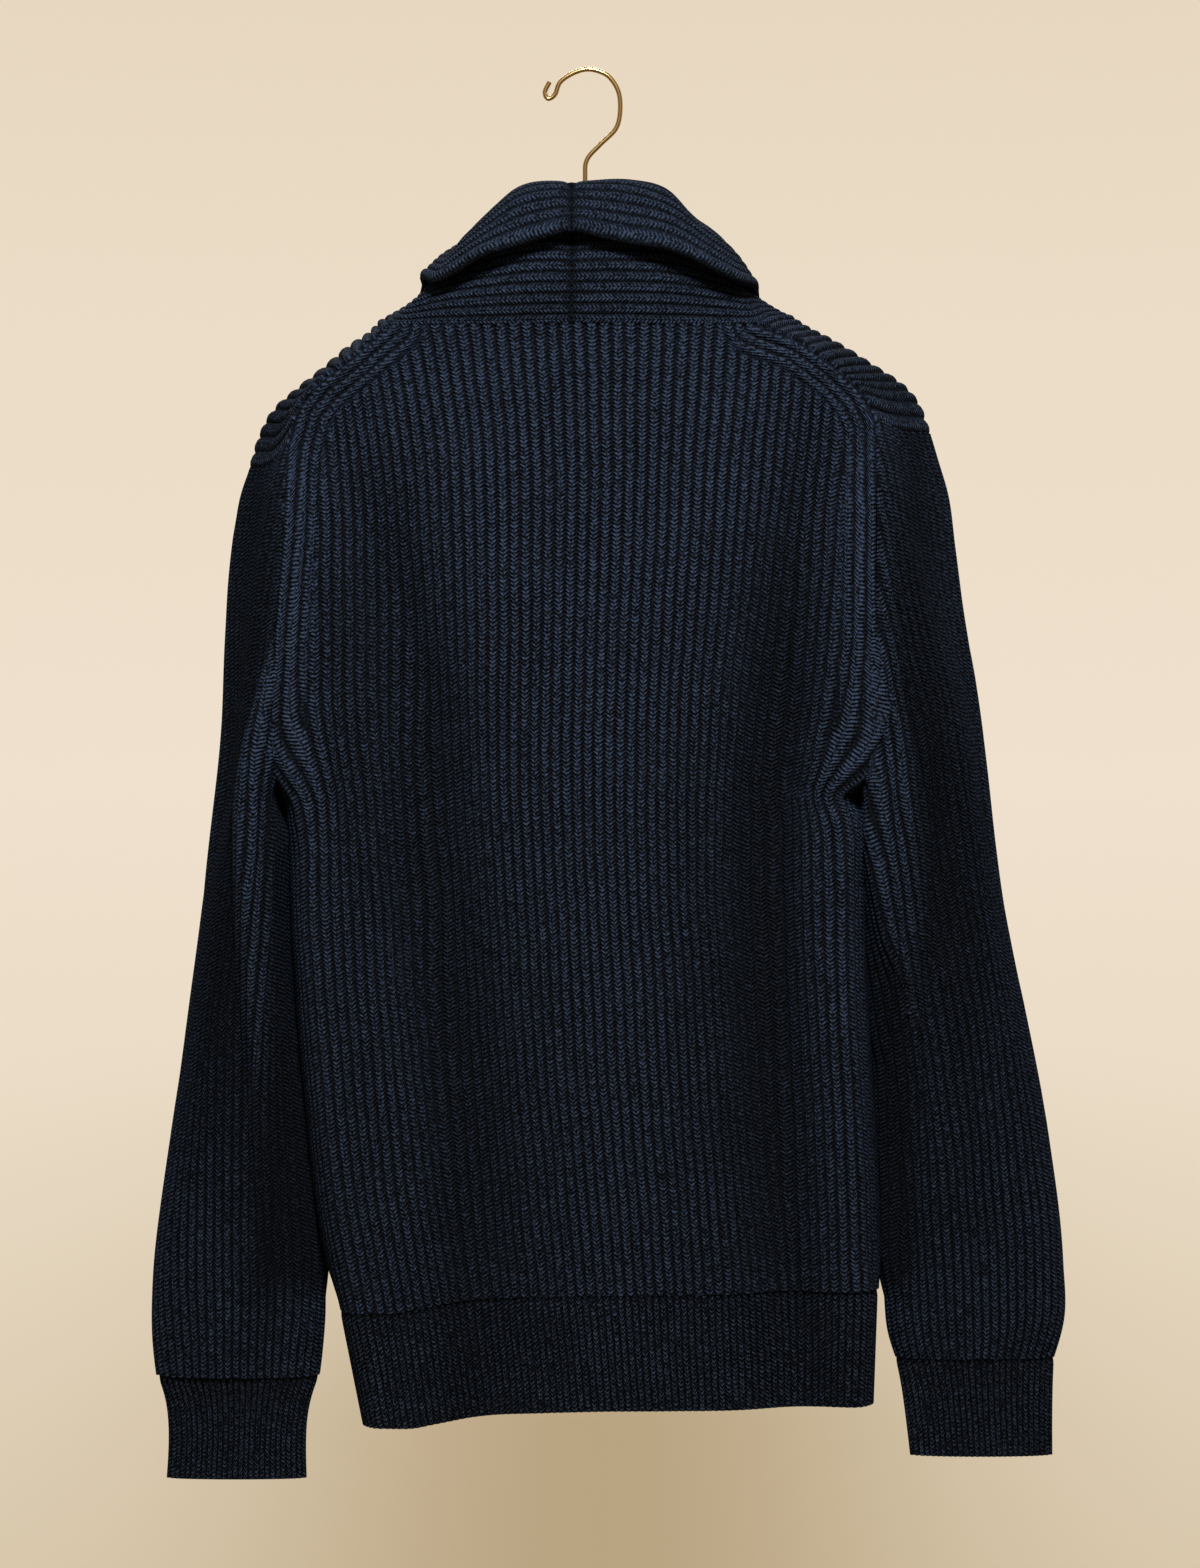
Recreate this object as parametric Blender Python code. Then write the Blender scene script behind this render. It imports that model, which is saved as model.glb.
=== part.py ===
"""A chunky ribbed shawl collar cardigan hanging on a brass wire hanger.

Metres, +Z up. The cardigan's back faces -Y and its front +Y. The origin is the
underside of the hook's top arc, where a rail carries the hanger. Every panel is a
thin wall: a plain inside, laid out as a grid with a column for each pair of ribs,
and an outside that is the same grid moved out with the ribs raised in it.
Tables are in millimetres. "Left" and "right" are the wearer's: left is -X.
"""

import math

import bmesh
import bpy
import numpy as np

MM = 0.001

# Driving sizes of the knit, in millimetres.
WALL = 2.0  # plain wall between ribs
RIB_HEIGHT = 1.5  # how far a rib stands above the wall
BAND_RIB_HEIGHT = 1.0  # ribs of the hem and cuffs
COLLAR_HALF_WALL = 0.9  # the collar is ribbed on both faces, about its middle
COLLAR_RIB_HEIGHT = 1.0
SEAM_GAP = 0.5  # between the pieces, where they are sewn together
COAT = WALL + RIB_HEIGHT  # from a panel's inside to the tops of its ribs

# Driving sizes of the garment, in millimetres.
HEM_SEAM_HEIGHT = -782.0
HEM_BOTTOM_HEIGHT = -855.0
HEM_SWAY_LEFT = -13.0  # the hem hangs this much lower at the left side
HEM_SWAY_REACH = 160.0  # and starts to drop at the middle
BAND_WIDTH = 46.0  # the button band below the lapels
BAND_LIFT = 7.4  # the left band lies this far in front of the right one
BREAK_HEIGHT = -402.0  # where the lapels start to roll
BAND_ROWS = 5  # stations down the button band, from the break to the hem's edge
BUTTON_COUNT = 5
BUTTON_RADIUS = 11.5
BUTTON_THICKNESS = 4.0
BUTTON_GAP = 0.35  # from the ribs of the band

# Driving sizes of the hanger, in millimetres.
WIRE_RADIUS = 1.6
HANGER_RADIUS = 5.5
HANGER_CLEARANCE = 1.9

# Columns, counted in pairs of ribs.
BACK_NECK = 7  # from the centre back to the neck corner
BACK_ARM = 13  # to the armhole
BACK_SIDE = 18  # to the side seam
FRONT_NECK = 5  # from the button band to the neck corner
FRONT_ARM = 12
FRONT_SIDE = 17
COLLAR_BAND = 4  # from the free edge to the inner edge of the button band
COLLAR_SEAM = 9  # to the neck seam
SLEEVE_ROUND = 23

NAVY = (0.0135, 0.0205, 0.036, 1.0)
BRASS = (0.62, 0.43, 0.19, 1.0)
HORN = (0.035, 0.022, 0.014, 1.0)


def table(names, *rows):
    """A dictionary of columns from rows of numbers."""
    return {name: np.array(column, float) for name, column in zip(names.split(), zip(*rows))}


# The shoulder seam, on the back: its columns in the back and in the front panel.
SHOULDER_SEAM = table(
    "back front y left_x left_z right_x right_z",
    (7, 5, -30, -124, -168, 107, -167),
    (9, 7, -34, -148, -188, 134, -177),
    (11, 9, -39, -170, -205, 160, -196),
    (12, 11, -44, -182, -221, 176, -212),
    (13, 12, -50, -188, -247, 184, -231),
)

# The shoulder's top line, over the hanger: the front panel's columns at their highest.
SHOULDER_TOP = table(
    "front left_x left_z right_x right_z",
    (5, -129, -158.5, 129.5, -155.5),
    (6, -137, -167.5, 139.5, -162.5),
    (7, -150, -177.5, 151.5, -170.5),
    (8, -166, -190.5, 166.5, -179),
    (9, -183.5, -204, 183, -189.5),
    (10, -198, -217, 199.5, -200),
    (11, -207.5, -233.5, 212, -212),
    (12, -214, -253, 219, -231),
)

# The armhole seam on the back and on the front, from the shoulder down to the pit.
ARMHOLE = table(
    "back_row front_row back_y front_y left_x left_z right_x right_z",
    (0, 3, -50, 32, -188, -247, 184, -231),
    (1, 4, -66, 50, -191, -298, 184.5, -288),
    (2, 5, -69, 56, -195, -360, 183, -352),
    (3, 6, -58, 50, -199, -441, 179, -441),
)

# The back's middle, its edges and its two long valleys.
BACK = table(
    "z middle_y edge_y left_x right_x left_fold_x right_fold_x fold",
    (-167, -45, -32, -184, 180, -150, 150, 0),
    (-235, -62, -50, -186, 184, -146, 148, 9),
    (-300, -73, -66, -191, 184, -128, 139, 20),
    (-367, -79, -69, -196, 183, -113, 132, 27),
    (-441, -83, -60, -200, 179, -106, 125, 29),
    (-465, -84, -60, -189.6, 166.4, -104, 122, 30),
    (-490, -84, -60, -188, 175.5, -103, 120, 30),
    (-535, -84, -60, -187, 176.7, -101, 119, 30),
    (-600, -84, -60, -183, 178, -92, 122, 28),
    (-664, -83, -60, -177, 182, -84, 127, 26),
    (-728, -81, -60, -170, 185, -75, 132, 23),
    (-788, -79, -60, -158.5, 187, -68, 134, 17),
    (-871, -77, -60, -142, 184, -60, 134, 12),
)
FOLD_WIDTH = 27.0
LEFT_FOLD_SHARE = 0.9  # the left valley is the shallower one
EDGE_INSET = 9.0  # the face ends this far inside the edge, where the side turns
EDGE_BLUR = (-60.0, -30.0, 0.0, 30.0, 60.0)  # heights that an inner column's edge is a mean of

# The fronts beside the button band, their edges and their soft folds.
FRONT = table(
    "z middle_y edge_y fold_at fold",
    (-167, 60, 30, 0.62, 0),
    (-300, 66.9, 48, 0.60, 6),
    (-400, 72, 54, 0.56, 12),
    (-520, 73, 55, 0.54, 16),
    (-664, 74.2, 55, 0.52, 15),
    (-871, 76, 55, 0.50, 10),
)
FRONT_FOLD_WIDTH = 0.16  # as a share of the front's width, as fold_at is

# Where the front's yoke row lies from the shoulder's top, at the neck and at the arm.
YOKE_FALL = table("front inward forward down", (5, 22, 36, 27), (12, 12, 30, 13))
SLOPE_SHARE = 0.52  # the row between the shoulder seam and the top line
SLOPE_LIFT = 2.0

# The sleeves' outlines as seen from behind, half their depth and their long fold.
SLEEVE_RIGHT = table(
    "z outer_x inner_x half_depth middle_y fold",
    (-230, 221, 160, 44, -5, 0),
    (-270, 233.6, 164, 50, -6, 3),
    (-354, 247.2, 172, 56, -6, 8),
    (-428, 260.6, 180, 57, -5, 14),
    (-465, 263.5, 185, 56, -4, 18),
    (-490, 267, 178.8, 54, -4, 19),
    (-548, 275.4, 178.9, 51, -4, 18),
    (-600, 285.2, 180.6, 47, -4, 15),
    (-664, 296.3, 184.6, 42, -4, 12),
    (-728, 304.5, 188.4, 37, -4, 9),
    (-788, 309, 192, 30, -4, 5),
    (-811, 308, 194, 27, -4, 3),
    (-828, 302, 199, 23, -4, 0),
    (-850, 301.3, 203.5, 16, -4, 0),
    (-893, 301.3, 208.5, 14, -4, 0),
)
SLEEVE_LEFT = table(
    "z outer_x inner_x half_depth middle_y fold",
    (-230, -206, -168, 46, -5, 0),
    (-270, -221.5, -174, 52, -6, 2),
    (-310, -229.5, -179, 55, -6, 4),
    (-354, -234.5, -184, 58, -6, 6),
    (-428, -240, -198, 60, -5, 10),
    (-465, -244, -204, 60, -4, 12),
    (-490, -249, -191.5, 61, -4, 13),
    (-535, -252.8, -189.5, 60, -4, 13),
    (-600, -260, -185.5, 55, -4, 12),
    (-664, -267.5, -180, 48, -4, 11),
    (-728, -275, -173.5, 40, -4, 9),
    (-788, -279.3, -167.5, 32, -4, 6),
    (-811, -279.3, -168, 28, -4, 3),
    (-840, -276.5, -171.5, 23, -4, 0),
    (-853, -272.5, -176, 16, -4, 0),
    (-907, -271, -179.5, 14, -4, 0),
)
SLEEVE_FOLDS = ((1.75, 1.0), (4.6, -0.6))  # the turn round the sleeve, and the size
SLEEVE_FOLD_WIDTH = 0.5  # in radians
CUFF_SEAM = {"left": -840.0, "right": -828.0}
CUFF_BOTTOM = {"left": -907.0, "right": -892.0}
CUFF_STEP = 13.0  # below its seam the cuff has drawn the sleeve in

# The collar from the centre back over the shoulder to the break: its fold, its free
# edge, the fold's column, how round the roll is, and how far the stand bellies out.
COLLAR_RIGHT = table(
    "fold_x fold_y fold_z edge_x edge_y edge_z fold_at roll belly",
    (-9, -30, -73, -9, -57, -106, 2.8, 9, 9),
    (28, -29, -73, 30, -57, -109, 2.8, 9, 9),
    (51, -26, -79, 60, -57, -116, 2.9, 9, 7),
    (70.5, -18, -97, 92, -49, -130, 2.9, 9, 0),
    (80, -12, -104, 103, -40, -137, 3.0, 9, -6),
    (84, -3, -111, 109, -16, -140, 3.1, 8, -13),
    (85, 10, -120, 111, 10, -143, 3.2, 8, -14),
    (80, 36, -146, 118, 46, -172, 3.7, 10, -6),
    (66, 60, -176, 112, 72, -204, 4.0, 10, 0),
    (51, 67, -222, 93, 80, -248, 3.9, 9, 0),
    (38, 72, -266, 72, 84, -287, 3.6, 8, 0),
    (22, 75, -309, 42, 84, -321, 2.2, 5, 0),
    (-9, 74, -351, -5, 77, -354, 0.6, 1, 0),
)
COLLAR_LEFT = table(
    "fold_x fold_y fold_z edge_x edge_y edge_z fold_at roll belly",
    (-9, -30, -73, -9, -57, -106, 2.8, 9, 9),
    (-42, -29, -76.5, -46, -57, -112, 2.8, 9, 9),
    (-58, -26, -90, -70, -57, -119, 2.9, 9, 7),
    (-71, -17, -104, -93, -49, -130, 2.9, 9, -4),
    (-76, -10, -111, -100, -42, -135, 3.0, 9, -12),
    (-81, -1, -113, -106, -18, -135, 3.1, 8, -17),
    (-81, 11, -119, -106, 10, -139, 3.2, 8, -18),
    (-80, 36, -148, -116, 46, -174, 3.7, 10, -6),
    (-66, 62, -176, -112, 74, -204, 4.0, 10, 0),
    (-52, 70, -222, -94, 84, -248, 3.9, 9, 0),
    (-42, 76, -266, -78, 92, -288, 3.7, 8, 0),
    (-30, 82, -308, -58, 95, -326, 3.0, 7, 0),
    (-10, 86, -352, -22, 92, -360, 1.4, 3, 0),
)
COLLAR_ROWS_BACK = (0, 2, 4, 6, 7)  # the back's columns at the collar's first rows

# How far down each column its rows lie, as shares of its length.
BACK_UPPER_ROWS = (0, 0.3, 0.63, 1)
FRONT_UPPER_ROWS = (0, 0.28, 0.62, 1)
BACK_LOWER_ROWS = (0, 0.07, 0.25, 0.6, 1)
SLEEVE_ROWS = (0, 0.06, 0.18, 0.36, 0.62, 0.9, 1)
PIT_SETTLE = 0.15  # the share of the lower body that takes up the pit's shape


def unit(vectors):
    """The vectors at length 1."""
    length = np.linalg.norm(vectors, axis=-1, keepdims=True)
    return vectors / np.maximum(length, 1e-9)


def read(values, name, z):
    """A column of a table at a height, between its rows."""
    return np.interp(-z, -values["z"], values[name])


def mix(first, second, share):
    """The point this share of the way from the first to the second."""
    return first + (second - first) * share


def centre_front(z):
    """Where the button band's middle hangs, at a height."""
    return mix(-8.0, 18.0, (z - BREAK_HEIGHT) / (HEM_BOTTOM_HEIGHT - BREAK_HEIGHT))


def hem_height(x):
    """The hem seam's height, lower towards the left side."""
    return HEM_SEAM_HEIGHT + HEM_SWAY_LEFT * np.clip(-x / HEM_SWAY_REACH, 0.0, 1.0) ** 2


# ---------------------------------------------------------------- wall panels


class Panel:
    """A wall on a grid of points: rows down the ribs, columns a pair of ribs apart.

    points holds the inside in millimetres, cells says which squares of the grid are
    cloth, and a round panel's last column joins its first.
    """

    def __init__(self, name, points, round_=False, facing=1.0):
        self.name = name
        self.points = np.array(points, float)
        self.round = round_
        self.facing = facing
        rows, columns = self.points.shape[:2]
        self.cells = np.ones((rows - 1, columns if round_ else columns - 1), bool)
        self.seams = []
        self.normals = None
        self.lasts = None

    def find_normals(self):
        """The outward direction at each point, from the cells that meet there."""
        rows, columns = self.points.shape[:2]
        self.normals = np.zeros_like(self.points)
        for i, k in zip(*np.nonzero(self.cells)):
            after = (k + 1) % columns
            corners = [(i, k), (i, after), (i + 1, after), (i + 1, k)]
            across = self.points[corners[2]] - self.points[corners[0]]
            down = self.points[corners[3]] - self.points[corners[1]]
            normal = unit(np.cross(across, down)) * self.facing
            for corner in corners:
                self.normals[corner] += normal
        self.normals = unit(self.normals)

    def close_ends(self):
        """Where a row stops short, puts the rest of its points on its last one."""
        for row, last in enumerate(self.lasts or []):
            self.points[row, last:] = self.points[row, last]
            self.normals[row, last:] = self.normals[row, last]


def share_normals(panels):
    """Gives panels that meet at a seam one outward direction at each shared point."""
    meeting = {}
    for panel in panels:
        for path in panel.seams:
            for node in path:
                key = tuple(np.round(panel.points[node], 2))
                meeting.setdefault(key, {})[panel.name] = panel.normals[node]
    shared = {
        key: unit(sum(normals.values()))
        for key, normals in meeting.items()
        if len(normals) > 1
    }
    for panel in panels:
        for path in panel.seams:
            fixed = []
            for place, node in enumerate(path):
                key = tuple(np.round(panel.points[node], 2))
                if key in shared:
                    panel.normals[node] = shared[key]
                    fixed.append(place)
            for start, end in zip(fixed, fixed[1:]):
                first, last = path[start], path[end]
                whole = np.linalg.norm(panel.points[last] - panel.points[first])
                for node in path[start + 1 : end]:
                    walked = np.linalg.norm(panel.points[node] - panel.points[first])
                    blend = mix(panel.normals[first], panel.normals[last], walked / whole)
                    panel.normals[node] = unit(blend)


def open_seams(panel):
    """Draws each seam edge back by half the gap, within the cloth."""
    moved = np.zeros_like(panel.points)
    for path in panel.seams:
        closed = path[0] == path[-1]
        places = path[:-1] if closed else path
        count = len(places)
        for place, node in enumerate(places):
            before = places[(place - 1) % count] if closed or place else node
            after = places[(place + 1) % count] if closed or place < count - 1 else node
            along = unit(panel.points[node] - panel.points[before])
            along = unit(along + unit(panel.points[after] - panel.points[node]))
            inward = unit(np.cross(panel.normals[node], along))
            middle = cell_middle(panel, node)
            if np.dot(inward, middle - panel.points[node]) < 0:
                inward = -inward
            moved[node] += inward * SEAM_GAP / 2
    panel.points += moved


def cell_middle(panel, node):
    """The middle of the cells that meet at a point of the grid."""
    rows, columns = panel.points.shape[:2]
    i, k = node
    middles = []
    for row in (i - 1, i):
        for column in (k - 1, k):
            if panel.round:
                column %= columns
            inside = 0 <= row < panel.cells.shape[0] and 0 <= column < panel.cells.shape[1]
            if inside and panel.cells[row, column]:
                after = (column + 1) % columns
                square = [(row, column), (row, after), (row + 1, after), (row + 1, column)]
                middles.append(sum(panel.points[corner] for corner in square) / 4)
    return sum(middles) / len(middles)


def ribbed(panel, ribs_per_column, base, height):
    """The panel's points moved out, with ribs: 2 points a rib along each row."""
    steps = 2 * ribs_per_column
    rows, columns = panel.points.shape[:2]
    count = columns * steps if panel.round else (columns - 1) * steps + 1
    face = np.zeros((rows, count, 3))
    for place in range(count):
        column, step = divmod(place, steps)
        after = (column + 1) % columns if panel.round else min(column + 1, columns - 1)
        share = step / steps
        spot = mix(panel.points[:, column], panel.points[:, after], share)
        out = unit(mix(panel.normals[:, column], panel.normals[:, after], share))
        width = np.linalg.norm(panel.points[:, after] - panel.points[:, column], axis=1)
        rib = np.where(width > 1.0, height, 0.0) if place % 2 else np.zeros(rows)
        face[:, place] = spot + out * (base + rib)[:, None]
    return face


def build_panel(panel, ribs_per_column, base, height, inner=0.0, inner_height=0.0):
    """Makes the closed solid of a panel: outside, inside and the rims between."""
    steps = 2 * ribs_per_column
    outside = ribbed(panel, ribs_per_column, base, height)
    inner_steps = steps if inner_height else 1
    if inner_height:
        inside = ribbed(panel, ribs_per_column, inner, inner_height)
    else:
        inside = panel.points + panel.normals * inner
    mesh = bmesh.new()
    made = {}

    def vertex(face, i, place):
        grid, kind = (outside, "out") if face == "out" else (inside, "in")
        place = place % grid.shape[1] if panel.round else place
        key = (kind, i, place)
        if key not in made:
            made[key] = mesh.verts.new(grid[i, place] * MM)
        return made[key]

    for i, k in zip(*np.nonzero(panel.cells)):
        for face, count in (("out", steps), ("in", inner_steps)):
            for step in range(k * count, (k + 1) * count):
                mesh.faces.new(
                    (
                        vertex(face, i, step),
                        vertex(face, i, step + 1),
                        vertex(face, i + 1, step + 1),
                        vertex(face, i + 1, step),
                    )
                )
        for row, beside in ((i, i - 1), (i + 1, i + 1)):
            if 0 <= beside < panel.cells.shape[0] and panel.cells[beside, k]:
                continue
            over = [vertex("out", row, k * steps + step) for step in range(steps + 1)]
            under = [
                vertex("in", row, k * inner_steps + step) for step in range(inner_steps + 1)
            ]
            mesh.faces.new(over + under[::-1])
        for column, beside in ((k, k - 1), (k + 1, k + 1)):
            if panel.round:
                continue
            if 0 <= beside < panel.cells.shape[1] and panel.cells[i, beside]:
                continue
            mesh.faces.new(
                (
                    vertex("out", i, column * steps),
                    vertex("out", i + 1, column * steps),
                    vertex("in", i + 1, column * inner_steps),
                    vertex("in", i, column * inner_steps),
                )
            )
    bmesh.ops.remove_doubles(mesh, verts=mesh.verts, dist=1e-6)
    bmesh.ops.recalc_face_normals(mesh, faces=mesh.faces)
    bmesh.ops.triangulate(mesh, faces=mesh.faces, ngon_method="EAR_CLIP")
    return add_mesh(panel.name, mesh, navy())


def add_mesh(name, mesh, material):
    """An object from a bmesh, with its material."""
    data = bpy.data.meshes.new(name)
    mesh.to_mesh(data)
    mesh.free()
    data.materials.append(material)
    obj = bpy.data.objects.new(name, data)
    bpy.context.scene.collection.objects.link(obj)
    return obj


def finish(name, colour, roughness, metallic=0.0):
    """A Principled material, made once."""
    material = bpy.data.materials.get(name)
    if material is None:
        material = bpy.data.materials.new(name)
        material.use_nodes = True
        shader = material.node_tree.nodes["Principled BSDF"]
        shader.inputs["Base Color"].default_value = colour
        shader.inputs["Roughness"].default_value = roughness
        shader.inputs["Metallic"].default_value = metallic
        material.diffuse_color = colour
    return material


def navy():
    """Matt navy lambswool."""
    return finish("navy_wool", NAVY, 0.95)


# ------------------------------------------------------------------ the body


def side_of(sign):
    """The name of the garment's side with this sign of X."""
    return "right" if sign > 0 else "left"


def seam_top(column):
    """The top point of one of the back's columns: neck, shoulder, or pit."""
    sign = 1 if column >= 0 else -1
    side = side_of(sign)
    across = abs(column)
    if across <= BACK_NECK:
        return neck_point(column)
    if across <= BACK_ARM:
        return np.array(
            [
                np.interp(across, SHOULDER_SEAM["back"], SHOULDER_SEAM[side + "_x"]),
                np.interp(across, SHOULDER_SEAM["back"], SHOULDER_SEAM["y"]),
                np.interp(across, SHOULDER_SEAM["back"], SHOULDER_SEAM[side + "_z"]),
            ]
        )
    return underarm(sign, (across - BACK_ARM) / (BACK_SIDE - BACK_ARM) / 2)


def neck_point(column):
    """A point of the back neck seam, straight between the collar's rows."""
    sign = 1 if column >= 0 else -1
    side = side_of(sign)
    corner = np.array(
        [SHOULDER_SEAM[side + "_x"][0], SHOULDER_SEAM["y"][0], SHOULDER_SEAM[side + "_z"][0]]
    )
    middle = np.array([-9.0, BACK["middle_y"][0], -167.0])
    stops = []
    for stop in COLLAR_ROWS_BACK:
        share = stop / BACK_NECK
        spot = mix(middle, corner, share)
        spot[1] = mix(middle[1], corner[1], share**2)
        stops.append(spot)
    stops = np.array(stops)
    return np.array([np.interp(abs(column), COLLAR_ROWS_BACK, stops[:, n]) for n in range(3)])


def armhole_point(side, row, face):
    """A point of the armhole seam on the back or front face."""
    return np.array(
        [ARMHOLE[side + "_x"][row], ARMHOLE[face + "_y"][row], ARMHOLE[side + "_z"][row]]
    )


def underarm(sign, share):
    """The underarm curve, from the back of the pit (0) to its front (1)."""
    side = side_of(sign)
    first = armhole_point(side, 3, "back")
    last = armhole_point(side, 3, "front")
    spot = mix(first, last, share)
    sag = math.sin(math.pi * share)
    return spot + np.array([-2.0 * sign * sag, 0.0, -4.0 * sag])


def fold_depth(x, z):
    """How far the back's two long valleys draw it in, at a place."""
    depth = read(BACK, "fold", z)
    left = math.exp(-(((x - read(BACK, "left_fold_x", z)) / FOLD_WIDTH) ** 2))
    right = math.exp(-(((x - read(BACK, "right_fold_x", z)) / FOLD_WIDTH) ** 2))
    return depth * (LEFT_FOLD_SHARE * left + right)


def soft_edge(name, z):
    """A side edge of the back with its notch below the pit evened out."""
    return sum(read(BACK, name, z + step) for step in EDGE_BLUR) / len(EDGE_BLUR)


def back_section(column, z):
    """The inside of the back at a column and a height."""
    left = read(BACK, "left_x", z) + COAT
    right = read(BACK, "right_x", z) - COAT
    above_pit = z > ARMHOLE["right_z"][3]
    inset = 0.0 if above_pit else EDGE_INSET
    across = min(abs(column), BACK_ARM) * (1 if column > 0 else -1)
    share = (across + BACK_ARM) / (2 * BACK_ARM)
    soft_left = soft_edge("left_x", z) + COAT + EDGE_INSET
    soft_right = soft_edge("right_x", z) - COAT - EDGE_INSET
    notch = left + inset - soft_left if share < 0.5 else right - inset - soft_right
    x = mix(soft_left, soft_right, share) + notch * abs(2 * share - 1) ** 7
    bow = abs(2 * share - 1) ** 2.4
    y = mix(read(BACK, "middle_y", z), read(BACK, "edge_y", z), bow) + COAT
    if abs(column) <= BACK_ARM:
        return np.array([x, y + fold_depth(x, z) * (1 - bow**3), z])
    turn = (abs(column) - BACK_ARM) / (BACK_SIDE - BACK_ARM)
    edge = right if column > 0 else left
    reach = min(1.0, turn * 2.5)
    x = mix(x, edge, 1 - (1 - reach) ** 2)
    return np.array([x, y * (1 - turn), z])


def back_panel():
    """The back: its top edge is the neck, the shoulders and the underarms."""
    columns = range(-BACK_SIDE, BACK_SIDE + 1)
    rows = len(BACK_UPPER_ROWS) + len(BACK_LOWER_ROWS) - 1
    points = np.zeros((rows, len(columns), 3))
    pit_row = len(BACK_UPPER_ROWS) - 1
    for k, column in enumerate(columns):
        sign = 1 if column >= 0 else -1
        side = side_of(sign)
        top = seam_top(column)
        pit_z = mix(ARMHOLE["left_z"][3], ARMHOLE["right_z"][3], 0.5)
        if abs(column) == BACK_ARM:
            for row in range(pit_row + 1):
                points[row, k] = armhole_point(side, row, "back")
        elif abs(column) < BACK_ARM:
            slip = top - back_section(column, top[2])
            for row, share in enumerate(BACK_UPPER_ROWS):
                z = mix(top[2], pit_z, share)
                settle = (1 - share) ** 2.2
                points[row, k] = back_section(column, z) + slip * settle
                points[row, k][2] = z
        else:
            points[: pit_row + 1, k] = top
        start = points[pit_row, k].copy()
        slip = start - back_section(column, start[2])
        for place, share in enumerate(BACK_LOWER_ROWS):
            z = mix(start[2], hem_height(start[0]), share)
            settle = max(0.0, 1 - share / PIT_SETTLE) ** 2
            spot = back_section(column, z) + slip * settle
            spot[2] = z
            points[pit_row + place, k] = spot
    panel = Panel("back_panel", points, facing=-1.0)
    gap = BACK_SIDE - BACK_ARM
    panel.cells[:pit_row, :gap] = False
    panel.cells[:pit_row, -gap:] = False
    last = len(columns) - 1
    bottom = rows - 1
    left_side = [(row, 0) for row in range(bottom, pit_row - 1, -1)]
    left_pit = [(pit_row, k) for k in range(0, gap + 1)]
    left_arm = [(row, gap) for row in range(pit_row, -1, -1)]
    top = [(0, k) for k in range(gap, last - gap + 1)]
    right_arm = [(row, last - gap) for row in range(pit_row + 1)]
    right_pit = [(pit_row, k) for k in range(last - gap, last + 1)]
    right_side = [(row, last) for row in range(pit_row, rows)]
    hem = [(bottom, k) for k in range(last, -1, -1)]
    panel.seams = [loop_path(left_side, left_pit, left_arm, top, right_arm, right_pit,
                             right_side, hem)]
    return panel


def loop_path(*parts):
    """One path through several that meet end to end."""
    path = list(parts[0])
    for part in parts[1:]:
        path += part[1:]
    return path


# ---------------------------------------------------------------- the fronts

SHOULDER_ROW = 2  # the front panel's row along the shoulder's top line
YOKE_ROW = 3  # the row where its neckline begins
PIT_ROW = 6


def band_edge(sign, z):
    """The straight line where a front panel meets its button band."""
    lift = BAND_LIFT if sign < 0 else 0.0
    middle = read(FRONT, "middle_y", z)
    return np.array([centre_front(z) + sign * BAND_WIDTH / 2, middle + lift, z])


def front_section(sign, column, z):
    """The inside of a front at a column and a height."""
    name = side_of(sign) + "_x"
    edge = read(BACK, name, z) - sign * COAT
    inset = EDGE_INSET if z <= ARMHOLE["right_z"][3] else 0.0
    inner = band_edge(sign, z)
    share = min(column, FRONT_ARM) / FRONT_ARM
    x = mix(inner[0], edge - sign * inset, share)
    y = mix(inner[1], read(FRONT, "edge_y", z) - COAT, share**2.2)
    if column <= FRONT_ARM:
        away = (share - read(FRONT, "fold_at", z)) / FRONT_FOLD_WIDTH
        return np.array([x, y - read(FRONT, "fold", z) * math.exp(-(away**2)), z])
    turn = (column - FRONT_ARM) / (FRONT_SIDE - FRONT_ARM)
    reach = min(1.0, turn * 2.5)
    x = mix(x, edge, 1 - (1 - reach) ** 2)
    return np.array([x, y * (1 - turn), z])


def shoulder_points(sign, column):
    """A front column's way over the shoulder: back seam, slope, top, and yoke."""
    side = side_of(sign)
    seam = np.array(
        [
            np.interp(column, SHOULDER_SEAM["front"], SHOULDER_SEAM[side + "_x"]),
            np.interp(column, SHOULDER_SEAM["front"], SHOULDER_SEAM["y"]),
            np.interp(column, SHOULDER_SEAM["front"], SHOULDER_SEAM[side + "_z"]),
        ]
    )
    ridge = np.array(
        [
            np.interp(column, SHOULDER_TOP["front"], SHOULDER_TOP[side + "_x"]),
            0.0,
            np.interp(column, SHOULDER_TOP["front"], SHOULDER_TOP[side + "_z"]) - COAT,
        ]
    )
    slope = mix(seam, ridge, SLOPE_SHARE) + np.array([0.0, 0.0, SLOPE_LIFT])
    slope[2] = min(slope[2], ridge[2] - 0.5)
    inward, forward, down = (
        np.interp(column, YOKE_FALL["front"], YOKE_FALL[name])
        for name in ("inward", "forward", "down")
    )
    yoke = ridge + np.array([-sign * inward, forward, -down])
    return seam, slope, ridge, yoke


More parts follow.
